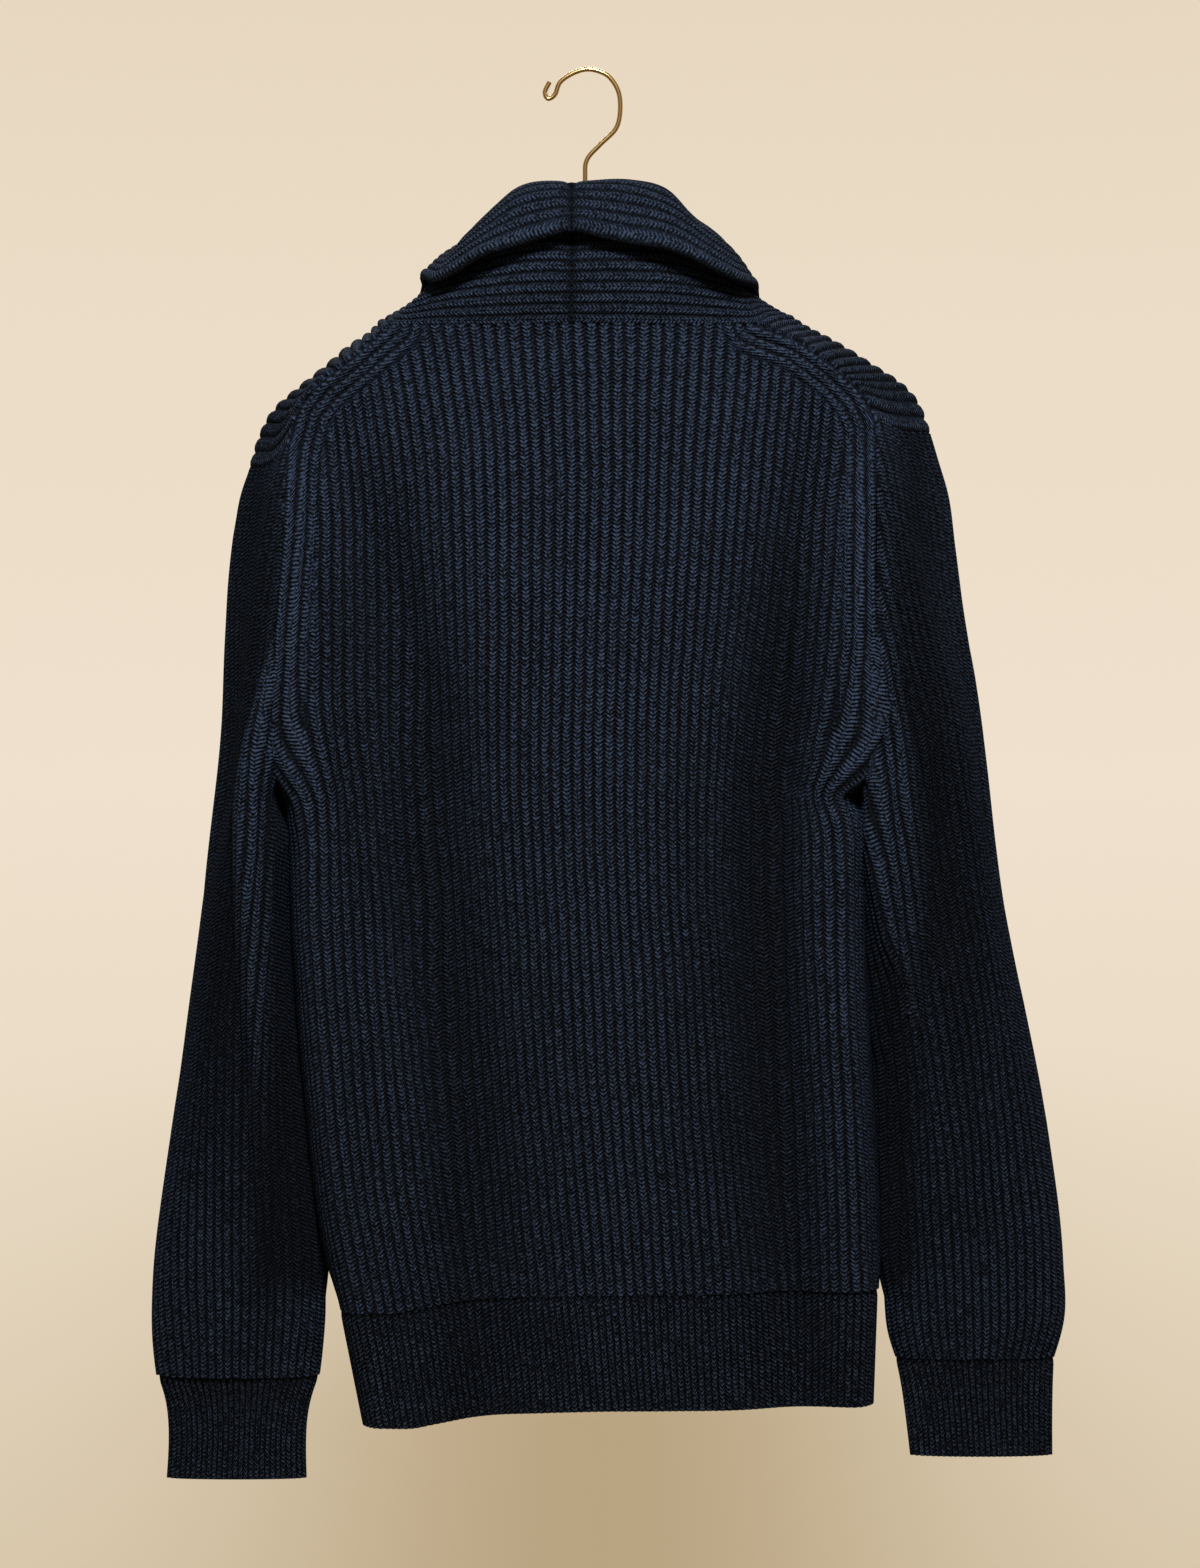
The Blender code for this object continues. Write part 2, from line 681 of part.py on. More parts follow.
def front_panel(sign):
    """A front: over the shoulder to the back, with its slanting neck edge."""
    side = side_of(sign)
    rows = PIT_ROW + len(BACK_LOWER_ROWS)
    points = np.zeros((rows, FRONT_SIDE + 1, 3))
    neck = shoulder_points(sign, FRONT_NECK)[3]
    brk = band_edge(sign, BREAK_HEIGHT)
    for column in range(FRONT_SIDE + 1):
        pit_z = ARMHOLE[side + "_z"][3]
        if column > FRONT_ARM:
            share = 1 - (column - FRONT_ARM) / (FRONT_SIDE - FRONT_ARM) / 2
            points[: PIT_ROW + 1, column] = underarm(sign, share)
        elif column == FRONT_ARM:
            points[: YOKE_ROW + 1, column] = shoulder_points(sign, column)
            for row in (1, 2, 3):
                points[YOKE_ROW + row, column] = armhole_point(side, row, "front")
        else:
            if column >= FRONT_NECK:
                points[: YOKE_ROW + 1, column] = shoulder_points(sign, column)
            else:
                points[: YOKE_ROW + 1, column] = mix(brk, neck, column / FRONT_NECK)
            top = points[YOKE_ROW, column].copy()
            slip = top - front_section(sign, column, top[2])
            for row, share in enumerate(FRONT_UPPER_ROWS[1:], 1):
                z = mix(top[2], pit_z, share)
                spot = front_section(sign, column, z) + slip * (1 - share) ** 1.6
                spot[2] = z
                points[YOKE_ROW + row, column] = spot
        start = points[PIT_ROW, column].copy()
        slip = start - front_section(sign, column, start[2])
        for place, share in enumerate(BACK_LOWER_ROWS):
            z = mix(start[2], hem_height(start[0]), share)
            spot = front_section(sign, column, z) + slip * max(0.0, 1 - share / PIT_SETTLE) ** 2
            spot[2] = z
            points[PIT_ROW + place, column] = spot
    panel = Panel("front_" + side, points, facing=sign)
    panel.cells[:YOKE_ROW, :FRONT_NECK] = False
    panel.cells[:PIT_ROW, FRONT_ARM:] = False
    bottom = rows - 1
    panel.seams = [
        loop_path(
            [(0, k) for k in range(FRONT_NECK, FRONT_ARM + 1)],
            [(row, FRONT_ARM) for row in range(PIT_ROW + 1)],
            [(PIT_ROW, k) for k in range(FRONT_ARM, FRONT_SIDE + 1)],
            [(row, FRONT_SIDE) for row in range(PIT_ROW, rows)],
            [(bottom, k) for k in range(FRONT_SIDE, -1, -1)],
            [(row, 0) for row in range(bottom, YOKE_ROW - 1, -1)],
            [(YOKE_ROW, k) for k in range(FRONT_NECK + 1)],
            [(row, FRONT_NECK) for row in range(YOKE_ROW, -1, -1)],
        )
    ]
    return panel


# --------------------------------------------------------------- the sleeves


def sleeve_ring(sign, column, z):
    """The inside of a sleeve at a column and a height."""
    values = SLEEVE_RIGHT if sign > 0 else SLEEVE_LEFT
    outer = read(values, "outer_x", z) - sign * COAT
    inner = read(values, "inner_x", z) + sign * COAT
    half_depth = read(values, "half_depth", z) - COAT
    turn = 2 * math.pi * column / SLEEVE_ROUND
    x = mix(inner, outer, 0.5 - 0.5 * math.cos(turn))
    y = read(values, "middle_y", z) - half_depth * math.sin(turn)
    fold = read(values, "fold", z)
    for at, size in SLEEVE_FOLDS:
        y += size * fold * math.exp(-(((turn - at) / SLEEVE_FOLD_WIDTH) ** 2))
    return np.array([x, y, z])


def armhole_loop(sign, front):
    """The armhole's points in the sleeve's columns, from the underarm round the back."""
    side = side_of(sign)
    steps = BACK_SIDE - BACK_ARM
    stops = [(underarm(sign, 0.5), 1)]
    stops += [(underarm(sign, 0.5 - 0.5 * n / steps), 1) for n in range(1, steps)]
    stops += [(armhole_point(side, 3, "back"), 2)]
    stops += [(armhole_point(side, row, "back"), 1) for row in (2, 1)]
    stops += [(front.points[0, FRONT_ARM], 2), (front.points[1, FRONT_ARM], 1)]
    stops += [(front.points[2, FRONT_ARM], 2), (front.points[3, FRONT_ARM], 1)]
    stops += [(front.points[4, FRONT_ARM], 1), (front.points[5, FRONT_ARM], 2)]
    stops += [(underarm(sign, 1 - 0.5 * n / steps), 1) for n in range(steps)]
    loop = []
    for place, (spot, columns) in enumerate(stops):
        after = stops[(place + 1) % len(stops)][0]
        loop += [mix(spot, after, n / columns) for n in range(columns)]
    return loop


SLEEVE_SETTLE = 115.0  # how far below the armhole a column takes the sleeve's form


def sleeve(sign, front):
    """A sleeve: a tube whose columns hang from the armhole."""
    side = side_of(sign)
    loop = armhole_loop(sign, front)
    points = np.zeros((len(SLEEVE_ROWS), SLEEVE_ROUND, 3))
    for column, top in enumerate(loop):
        slip = top - sleeve_ring(sign, column, top[2])
        for row, share in enumerate(SLEEVE_ROWS):
            z = mix(top[2], CUFF_SEAM[side], share)
            settle = max(0.0, 1 - (top[2] - z) / SLEEVE_SETTLE) ** 1.6
            spot = sleeve_ring(sign, column, z) + slip * settle
            spot[2] = z
            points[row, column] = spot
    panel = Panel("sleeve_" + side, points, round_=True, facing=-sign)
    ring = list(range(SLEEVE_ROUND)) + [0]
    last = len(SLEEVE_ROWS) - 1
    panel.seams = [[(0, k) for k in ring], [(last, k) for k in ring]]
    return panel


def cuff(sign, above):
    """A cuff: narrower below its seam, then straight."""
    side = side_of(sign)
    below = CUFF_SEAM[side] - CUFF_STEP
    points = np.zeros((3, SLEEVE_ROUND, 3))
    for column in range(SLEEVE_ROUND):
        points[0, column] = above.points[-1, column]
        points[1, column] = sleeve_ring(sign, column, below)
        points[2, column] = sleeve_ring(sign, column, CUFF_BOTTOM[side])
    panel = Panel("cuff_" + side, points, round_=True, facing=-sign)
    panel.seams = [[(0, k) for k in list(range(SLEEVE_ROUND)) + [0]]]
    return panel


# ------------------------------------------------------------- the hem bands


def hem_bottom(start):
    """The height of the hem's lower edge under a point of its seam."""
    return start[2] + HEM_BOTTOM_HEIGHT - HEM_SEAM_HEIGHT


def back_hem(above):
    """The band below the back."""
    top = above.points[-1]
    bottom = [
        back_section(k - BACK_SIDE, hem_bottom(spot)) for k, spot in enumerate(top)
    ]
    panel = Panel("hem_back", [top, bottom], facing=-1.0)
    last = len(top) - 1
    panel.seams = [loop_path([(1, 0), (0, 0)], [(0, k) for k in range(last + 1)],
                             [(0, last), (1, last)])]
    return panel


def front_hem(sign, above):
    """The band below a front."""
    top = above.points[-1]
    bottom = [front_section(sign, k, hem_bottom(spot)) for k, spot in enumerate(top)]
    panel = Panel("hem_front_" + side_of(sign), [top, bottom], facing=sign)
    last = len(top) - 1
    panel.seams = [loop_path([(1, 0), (0, 0)], [(0, k) for k in range(last + 1)],
                             [(0, last), (1, last)])]
    return panel


# ---------------------------------------------------------------- the collar


def bezier(a, b, c, d, count=24):
    """Points along a cubic."""
    t = np.linspace(0, 1, count)[:, None]
    return a * (1 - t) ** 3 + 3 * b * t * (1 - t) ** 2 + 3 * c * t**2 * (1 - t) + d * t**3


def along(path, share):
    """The point this share of the way along a path."""
    steps = np.linalg.norm(np.diff(path, axis=0), axis=1)
    walked = np.concatenate([[0], np.cumsum(steps)])
    at = share * walked[-1]
    return np.array([np.interp(at, walked, path[:, n]) for n in range(3)])


def collar_row(seam, values, row, last):
    """One line across the collar, from its free edge over the fold to the neck seam."""
    fold = np.array([values[name][row] for name in ("fold_x", "fold_y", "fold_z")])
    edge = np.array([values[name][row] for name in ("edge_x", "edge_y", "edge_z")])
    roll = values["roll"][row]
    fold_at = values["fold_at"][row]
    out = unit((edge - fold) * np.array([1, 1, 0]))
    belly = out * values["belly"][row]
    stand = bezier(seam, seam + 0.5 * (fold - seam) + belly, fold - out * roll, fold)
    leaf = bezier(
        fold, fold + out * roll, edge - 0.4 * (edge - fold) + out * roll * 0.7, edge
    )
    line = []
    for column in range(COLLAR_SEAM + 1):
        if column >= fold_at:
            share = max(0.0, last - column) / (last - fold_at)
            line.append(along(stand, share))
        else:
            line.append(along(leaf, (fold_at - column) / fold_at))
    return line


def collar_half(sign, front, hem):
    """Half of the shawl collar, which runs on below the break as a button band.

    Past the yoke's corner the neckline cuts off a column of the collar at each row,
    so the ribs stay parallel to the free edge and end in the seam.
    """
    values = COLLAR_RIGHT if sign > 0 else COLLAR_LEFT
    slope, ridge, yoke = (front.points[row, FRONT_NECK] for row in (1, 2, 3))
    seams = [neck_point(sign * column) if column else neck_point(0) for column in COLLAR_ROWS_BACK]
    seams += [slope, ridge, mix(ridge, yoke, 0.5)]
    lasts = [COLLAR_SEAM] * len(seams)
    yoke_row = len(seams)
    for column in range(FRONT_NECK, 0, -1):
        seams.append(front.points[YOKE_ROW, column])
        lasts.append(COLLAR_BAND + column)
    break_row = len(seams)
    lines = [
        collar_row(seam, values, row, last)
        for row, (seam, last) in enumerate(zip(seams, lasts))
    ]
    neckline_end = front.points[YOKE_ROW, 0]
    hem_seam = front.points[-1, 0]
    band_starts = [mix(neckline_end, hem_seam, share) for share in (0, 1 / 3, 2 / 3, 1)]
    band_starts.append(hem.points[1, 0])
    for start in band_starts:
        across = np.array([-sign * BAND_WIDTH / COLLAR_BAND, 0.0, 0.0])
        band = [start + across * (COLLAR_BAND - column) for column in range(COLLAR_BAND)]
        lines.append(band + [start] * (COLLAR_SEAM - COLLAR_BAND + 1))
        lasts.append(COLLAR_BAND)
    panel = Panel("collar_" + side_of(sign), lines, facing=sign)
    panel.lasts = lasts
    for row in range(len(lines) - 1):
        panel.cells[row, lasts[row] :] = False
    panel.seams = [
        loop_path(
            [(0, column) for column in range(COLLAR_SEAM + 1)],
            [(row, COLLAR_SEAM) for row in range(yoke_row + 1)],
            [(row, lasts[row]) for row in range(yoke_row, break_row + 1)],
            [(row, COLLAR_BAND) for row in range(break_row, len(lines))],
        )
    ]
    return panel


# --------------------------------------------------------- buttons and hanger

HOOK_ROUTE = table(
    "x z",
    (-0.6, -140.8),
    (-0.6, -100),
    (-0.6, -70),
    (0.5, -57),
    (9, -47),
    (19, -37),
    (22, -26),
    (21, -13),
    (15, -3.2),
    (7, 0.9),
    (-1, 1.6),
    (-10, -1.6),
    (-17, -7),
    (-20, -14.5),
    (-24.5, -17.2),
    (-26.5, -13),
    (-23.6, -6.5),
)
HANGER_CENTRE = ((-32.0, -149.5), (-0.6, -146.5), (31.0, -149.5))
# The front's columns that the rail's arms follow, and how much lower it lies there.
RAIL_DROP = ((6, 7.0), (7, 3.5), (8, 0.5), (9, 0.0), (10, 0.0), (11, 0.0))


def smooth_route(spots, steps):
    """Points of a Catmull-Rom curve through the spots."""
    spots = np.array(spots, float)
    padded = np.vstack([2 * spots[0] - spots[1], spots, 2 * spots[-1] - spots[-2]])
    route = []
    for place in range(len(spots) - 1):
        a, b, c, d = padded[place : place + 4]
        for step in range(steps):
            t = step / steps
            route.append(
                0.5
                * (
                    2 * b
                    + (c - a) * t
                    + (2 * a - 5 * b + 4 * c - d) * t**2
                    + (3 * b - a - 3 * c + d) * t**3
                )
            )
    return np.array(route + [spots[-1]])


def rod(name, route, radius, sides, material):
    """A round rod along a route, with filled ends."""
    curve = bpy.data.curves.new(name, "CURVE")
    curve.dimensions = "3D"
    curve.bevel_depth = radius * MM
    curve.bevel_resolution = (sides - 4) // 2
    curve.use_fill_caps = True
    spline = curve.splines.new("POLY")
    spline.points.add(len(route) - 1)
    for point, spot in zip(spline.points, route):
        point.co = (*(spot * MM), 1.0)
    curve.materials.append(material)
    obj = bpy.data.objects.new(name, curve)
    bpy.context.scene.collection.objects.link(obj)
    return obj


def hanger():
    """The hook's wire, and the plain rail inside the shoulders that it carries."""
    brass = finish("brass", BRASS, 0.28, 1.0)
    spots = [(x, 0.0, z) for x, z in zip(HOOK_ROUTE["x"], HOOK_ROUTE["z"])]
    rod("hanger_hook", smooth_route(spots, 2), WIRE_RADIUS, 8, brass)
    drop = HANGER_RADIUS + HANGER_CLEARANCE
    arms = []
    for sign in (-1, 1):
        spots = []
        for column, spare in RAIL_DROP:
            ridge = shoulder_points(sign, column)[2]
            before = shoulder_points(sign, column - 1)[2]
            after = shoulder_points(sign, column + 1)[2]
            slope = unit(after - before)
            under = np.array([sign * slope[2], 0.0, -abs(slope[0])])
            spots.append(ridge + under * (drop + spare))
        arms.append(spots[::-1] if sign < 0 else spots)
    centre = [np.array([x, 0.0, z]) for x, z in HANGER_CENTRE]
    route = smooth_route(arms[0] + centre + arms[1], 2)
    rod("hanger_rail", route, HANGER_RADIUS, 10, brass)


def buttons(collar):
    """Plain round buttons down the left band, which closes over the right one."""
    face = ribbed(collar, 2, 2 * COLLAR_HALF_WALL, COLLAR_RIB_HEIGHT)[-BAND_ROWS:]
    crest = face[:, 2 * COLLAR_BAND - 1]
    horn = finish("horn", HORN, 0.35)
    heights = np.linspace(BREAK_HEIGHT - 24, HEM_BOTTOM_HEIGHT + 30, BUTTON_COUNT)
    for number, height in enumerate(heights, 1):
        outside = np.interp(-height, -crest[:, 2], crest[:, 1]) + BUTTON_GAP
        mesh = bmesh.new()
        bmesh.ops.create_cone(
            mesh,
            cap_ends=True,
            segments=16,
            radius1=BUTTON_RADIUS * MM,
            radius2=0.86 * BUTTON_RADIUS * MM,
            depth=BUTTON_THICKNESS * MM,
        )
        obj = add_mesh(f"button_{number}", mesh, horn)
        obj.rotation_euler = (-math.pi / 2, 0, 0)
        middle = (centre_front(height), outside + BUTTON_THICKNESS / 2, height)
        obj.location = [value * MM for value in middle]


def clear_scene():
    """Removes whatever the scene holds."""
    for obj in list(bpy.data.objects):
        bpy.data.objects.remove(obj, do_unlink=True)


def main():
    clear_scene()
    back = back_panel()
    fronts = {sign: front_panel(sign) for sign in (-1, 1)}
    sleeves = {sign: sleeve(sign, fronts[sign]) for sign in (-1, 1)}
    cuffs = [cuff(sign, sleeves[sign]) for sign in (-1, 1)]
    hems = {sign: front_hem(sign, fronts[sign]) for sign in (-1, 1)}
    hem_back = back_hem(back)
    collars = [collar_half(sign, fronts[sign], hems[sign]) for sign in (-1, 1)]
    body = [back, *fronts.values(), *sleeves.values()]
    bands = [hem_back, *hems.values()]
    panels = body + cuffs + bands + collars
    for panel in panels:
        panel.find_normals()
    share_normals(panels)
    for panel in panels:
        open_seams(panel)
        panel.close_ends()
    for panel in body:
        build_panel(panel, 2, WALL, RIB_HEIGHT)
    for panel in cuffs:
        build_panel(panel, 2, WALL, BAND_RIB_HEIGHT)
    for panel in bands:
        build_panel(panel, 3, WALL, BAND_RIB_HEIGHT)
    for panel in collars:
        thickness = 2 * COLLAR_HALF_WALL
        build_panel(panel, 2, thickness, COLLAR_RIB_HEIGHT, 0.0, -COLLAR_RIB_HEIGHT)
    buttons(collars[0])
    hanger()


main()
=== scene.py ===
"""The looks of the shawl collar cardigan on its hanger.

Metres, +Z up; the tables are in millimetres. Each knitted piece is a thin wall on
the form of its solid: the coarse grid of a panel is drawn smoothly through, its
creases are pressed in, and the ribs stand out of it.
"""

import math
from collections import namedtuple
from functools import partial

import bpy
import numpy as np
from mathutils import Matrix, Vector

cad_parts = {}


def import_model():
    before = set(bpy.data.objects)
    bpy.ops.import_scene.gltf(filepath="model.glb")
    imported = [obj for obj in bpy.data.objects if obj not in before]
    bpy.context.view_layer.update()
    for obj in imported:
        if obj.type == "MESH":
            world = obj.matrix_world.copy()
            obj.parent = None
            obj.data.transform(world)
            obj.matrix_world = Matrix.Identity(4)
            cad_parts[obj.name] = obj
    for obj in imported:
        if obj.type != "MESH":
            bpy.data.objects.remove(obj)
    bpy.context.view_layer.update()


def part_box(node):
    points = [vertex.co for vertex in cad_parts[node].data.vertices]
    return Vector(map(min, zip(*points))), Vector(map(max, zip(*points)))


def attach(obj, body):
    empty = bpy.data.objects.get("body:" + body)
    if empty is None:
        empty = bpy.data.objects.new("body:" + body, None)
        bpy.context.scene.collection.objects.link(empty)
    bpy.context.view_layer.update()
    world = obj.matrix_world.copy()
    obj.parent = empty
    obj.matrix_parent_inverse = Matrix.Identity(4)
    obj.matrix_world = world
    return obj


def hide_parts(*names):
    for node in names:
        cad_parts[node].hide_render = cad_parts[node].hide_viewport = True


MM = 0.001

# Driving sizes of the solids' knit, in millimetres.
WALL = 2.0  # plain wall between ribs
RIB_HEIGHT = 1.5  # how far a rib stands above the wall
COAT = WALL + RIB_HEIGHT  # from a panel's inside to the tops of its ribs

# Driving sizes of the garment, in millimetres.
PIT_HEIGHT = -441.0
HEM_SEAM_HEIGHT = -782.0
HEM_BOTTOM_HEIGHT = -855.0
HEM_SWAY_LEFT = -13.0  # the hem hangs this much lower at the left side
HEM_SWAY_REACH = 160.0  # this far from the middle, where it starts to drop
CENTRE_BACK = -9.0  # where the middle of the back and of the collar hangs
BAND_WIDTH = 46.0  # the button band below the lapels
BAND_LIFT = 7.4  # the left band lies this far in front of the right one
BAND_MIDDLE = (-8.0, 18.0)  # the band hangs aslant from the break to the hem's edge
BREAK_HEIGHT = -402.0  # where the lapels start to roll
UNDERARM_IN = 2.0  # how far the underarm curve sags towards the body
UNDERARM_DOWN = 4.0  # and down
BUTTON_COUNT = 5
BUTTON_RADIUS = 11.5
BUTTON_THICKNESS = 4.0

# Driving sizes of the hanger, in millimetres.
WIRE_RADIUS = 1.6
HANGER_RADIUS = 5.5
HANGER_CLEARANCE = 1.9

# Columns, counted in pairs of ribs.
BACK_NECK = 7  # from the centre back to the neck corner
BACK_ARM = 13  # to the armhole
BACK_SIDE = 18  # to the side seam
FRONT_NECK = 5  # from the button band to the neck corner
FRONT_ARM = 12
FRONT_SIDE = 17
COLLAR_BAND = 4  # from the free edge to the inner edge of the button band
COLLAR_SEAM = 9  # to the neck seam
SLEEVE_ROUND = 23

# Rows of the front panel: from the shoulder seam over the top line to the yoke and on.
YOKE_ROW = 3  # where its neckline begins
PIT_ROW = 6


def table(names, *rows):
    """A dictionary of columns from rows of numbers."""
    return {name: np.array(column, float) for name, column in zip(names.split(), zip(*rows))}


# The shoulder seam, on the back: its columns in the back and in the front panel.
SHOULDER_SEAM = table(
    "back front y left_x left_z right_x right_z",
    (7, 5, -30, -124, -168, 107, -167),
    (9, 7, -34, -148, -188, 134, -177),
    (11, 9, -39, -170, -205, 160, -196),
    (12, 11, -44, -182, -221, 176, -212),
    (13, 12, -50, -188, -247, 184, -231),
)

# The shoulder's top line, over the hanger: the front panel's columns at their highest.
SHOULDER_TOP = table(
    "front left_x left_z right_x right_z",
    (5, -129, -158.5, 129.5, -155.5),
    (6, -137, -167.5, 139.5, -162.5),
    (7, -150, -177.5, 151.5, -170.5),
    (8, -166, -190.5, 166.5, -179),
    (9, -183.5, -204, 183, -189.5),
    (10, -198, -217, 199.5, -200),
    (11, -207.5, -233.5, 212, -212),
    (12, -214, -253, 219, -231),
)

# The armhole seam on the back and on the front, from the shoulder down to the pit.
ARMHOLE = table(
    "back_y front_y left_x left_z right_x right_z",
    (-50, 32, -188, -247, 184, -231),
    (-66, 50, -191, -298, 184.5, -288),
    (-69, 56, -195, -360, 183, -352),
    (-58, 50, -199, -441, 179, -441),
)

# The back's middle, its edges and its two long valleys.
BACK = table(
    "z middle_y edge_y left_x right_x left_fold_x right_fold_x fold",
    (-167, -45, -32, -184, 180, -150, 150, 0),
    (-235, -62, -50, -186, 184, -146, 148, 9),
    (-300, -73, -66, -191, 184, -128, 139, 20),
    (-367, -79, -69, -196, 183, -113, 132, 27),
    (-441, -83, -60, -200, 179, -106, 125, 29),
    (-465, -84, -60, -189.6, 166.4, -104, 122, 30),
    (-490, -84, -60, -188, 175.5, -103, 120, 30),
    (-535, -84, -60, -187, 176.7, -101, 119, 30),
    (-600, -84, -60, -183, 178, -92, 122, 28),
    (-664, -83, -60, -177, 182, -84, 127, 26),
    (-728, -81, -60, -170, 185, -75, 132, 23),
    (-788, -79, -60, -158.5, 187, -68, 134, 17),
    (-871, -77, -60, -142, 184, -60, 134, 12),
)
FOLD_WIDTH = 27.0
LEFT_FOLD_SHARE = 0.9  # the left valley is the shallower one
EDGE_INSET = 9.0  # the face ends this far inside the edge, where the side turns
EDGE_BLUR = (-60.0, -30.0, 0.0, 30.0, 60.0)  # heights that an inner column's edge is a mean of
NOTCH_POWER = 7  # how soon the pit's notch fades towards the middle
BACK_BOW_POWER = 2.4  # how flat the middle is before the sides turn forward
FRONT_BOW_POWER = 2.2
TURN_SPEED = 2.5  # how soon the turn to the side seam has reached the edge

# The fronts beside the button band, their edges and their soft folds.
FRONT = table(
    "z middle_y edge_y fold_at fold",
    (-167, 60, 30, 0.62, 0),
    (-300, 66.9, 48, 0.60, 6),
    (-400, 72, 54, 0.56, 12),
    (-520, 73, 55, 0.54, 16),
    (-664, 74.2, 55, 0.52, 15),
    (-871, 76, 55, 0.50, 10),
)
FRONT_FOLD_WIDTH = 0.16  # as a share of the front's width, as fold_at is

# Where the front's yoke row lies from the shoulder's top, at the neck and at the arm.
YOKE_FALL = table("front inward forward down", (5, 22, 36, 27), (12, 12, 30, 13))
SLOPE_SHARE = 0.52  # the row between the shoulder seam and the top line
SLOPE_LIFT = 2.0
SLOPE_DROP = 0.5  # this row stays at least this far below the top line

# The sleeves' outlines as seen from behind, half their depth and their long fold.
SLEEVE_RIGHT = table(
    "z outer_x inner_x half_depth middle_y fold",
    (-230, 221, 160, 44, -5, 0),
    (-270, 233.6, 164, 50, -6, 3),
    (-354, 247.2, 172, 56, -6, 8),
    (-428, 260.6, 180, 57, -5, 14),
    (-465, 263.5, 185, 56, -4, 18),
    (-490, 267, 178.8, 54, -4, 19),
    (-548, 275.4, 178.9, 51, -4, 18),
    (-600, 285.2, 180.6, 47, -4, 15),
    (-664, 296.3, 184.6, 42, -4, 12),
    (-728, 304.5, 188.4, 37, -4, 9),
    (-788, 309, 192, 30, -4, 5),
    (-811, 308, 194, 27, -4, 3),
    (-828, 302, 199, 23, -4, 0),
    (-850, 301.3, 203.5, 16, -4, 0),
    (-893, 301.3, 208.5, 14, -4, 0),
)
SLEEVE_LEFT = table(
    "z outer_x inner_x half_depth middle_y fold",
    (-230, -206, -168, 46, -5, 0),
    (-270, -221.5, -174, 52, -6, 2),
    (-310, -229.5, -179, 55, -6, 4),
    (-354, -234.5, -184, 58, -6, 6),
    (-428, -240, -198, 60, -5, 10),
    (-465, -244, -204, 60, -4, 12),
    (-490, -249, -191.5, 61, -4, 13),
    (-535, -252.8, -189.5, 60, -4, 13),
    (-600, -260, -185.5, 55, -4, 12),
    (-664, -267.5, -180, 48, -4, 11),
    (-728, -275, -173.5, 40, -4, 9),
    (-788, -279.3, -167.5, 32, -4, 6),
    (-811, -279.3, -168, 28, -4, 3),
    (-840, -276.5, -171.5, 23, -4, 0),
    (-853, -272.5, -176, 16, -4, 0),
    (-907, -271, -179.5, 14, -4, 0),
)
SLEEVE_FOLDS = ((1.75, 1.0), (4.6, -0.6))  # the turn round the sleeve, and the size
SLEEVE_FOLD_WIDTH = 0.5  # in radians
CUFF_SEAM = {"left": -840.0, "right": -828.0}
CUFF_BOTTOM = {"left": -907.0, "right": -892.0}
CUFF_STEP = 13.0  # below its seam the cuff has drawn the sleeve in

# The collar from the centre back over the shoulder to the break: its fold, its free
# edge, the fold's column, how round the roll is, and how far the stand bellies out.
COLLAR_RIGHT = table(
    "fold_x fold_y fold_z edge_x edge_y edge_z fold_at roll belly",
    (-9, -31, -73, -9, -59, -109, 2.8, 9, 24),
    (28, -30, -73, 26, -61, -117, 2.8, 10, 24),
    (51, -27, -79, 56, -61, -123, 2.9, 10, 20),
    (70.5, -18, -97, 86, -53, -135, 2.9, 10, 8),
    (80, -12, -104, 99, -43, -140, 3.0, 9, -4),
    (84, -3, -111, 109, -16, -140, 3.1, 8, -13),
    (85, 10, -120, 111, 10, -143, 3.2, 8, -14),
    (80, 36, -146, 118, 46, -172, 3.7, 10, -6),
    (66, 60, -176, 112, 72, -204, 4.0, 10, 0),
    (51, 67, -222, 93, 80, -248, 3.9, 9, 0),
    (38, 72, -266, 72, 84, -287, 3.6, 8, 0),
    (22, 75, -309, 42, 84, -321, 2.2, 5, 0),
    (-9, 74, -351, -5, 77, -354, 0.6, 1, 0),
)
COLLAR_LEFT = table(
    "fold_x fold_y fold_z edge_x edge_y edge_z fold_at roll belly",
    (-9, -31, -73, -9, -59, -109, 2.8, 9, 24),
    (-42, -30, -76, -46, -61, -120, 2.8, 10, 24),
    (-58, -27, -90, -67, -60, -127, 2.9, 10, 18),
    (-71, -17, -104, -89, -52, -137, 2.9, 10, 6),
    (-76, -10, -111, -98, -43, -140, 3.0, 9, -6),
    (-81, -1, -113, -106, -18, -135, 3.1, 8, -17),
    (-81, 11, -119, -106, 10, -139, 3.2, 8, -18),
    (-80, 36, -148, -116, 46, -174, 3.7, 10, -6),
    (-66, 62, -176, -112, 74, -204, 4.0, 10, 0),
    (-52, 70, -222, -94, 84, -248, 3.9, 9, 0),
    (-42, 76, -266, -78, 92, -288, 3.7, 8, 0),
    (-30, 82, -308, -58, 95, -326, 3.0, 7, 0),
    (-10, 86, -352, -22, 92, -360, 1.4, 3, 0),
)
COLLAR_ROWS_BACK = (0, 2, 4, 6, 7)  # the back's columns at the collar's first rows
LEAF_ROLL = 0.7  # the leaf's roll at its free edge, as a share of that at the fold

# How far down each column its rows lie, as shares of its length.
BACK_UPPER_ROWS = (0, 0.3, 0.63, 1)
FRONT_UPPER_ROWS = (0, 0.28, 0.62, 1)
LOWER_ROWS = (0, 0.035, 0.07, 0.13, 0.25, 0.42, 0.6, 0.8, 1)
SLEEVE_ROWS = (0, 0.03, 0.06, 0.12, 0.18, 0.27, 0.36, 0.49, 0.62, 0.76, 0.9, 0.96, 1)

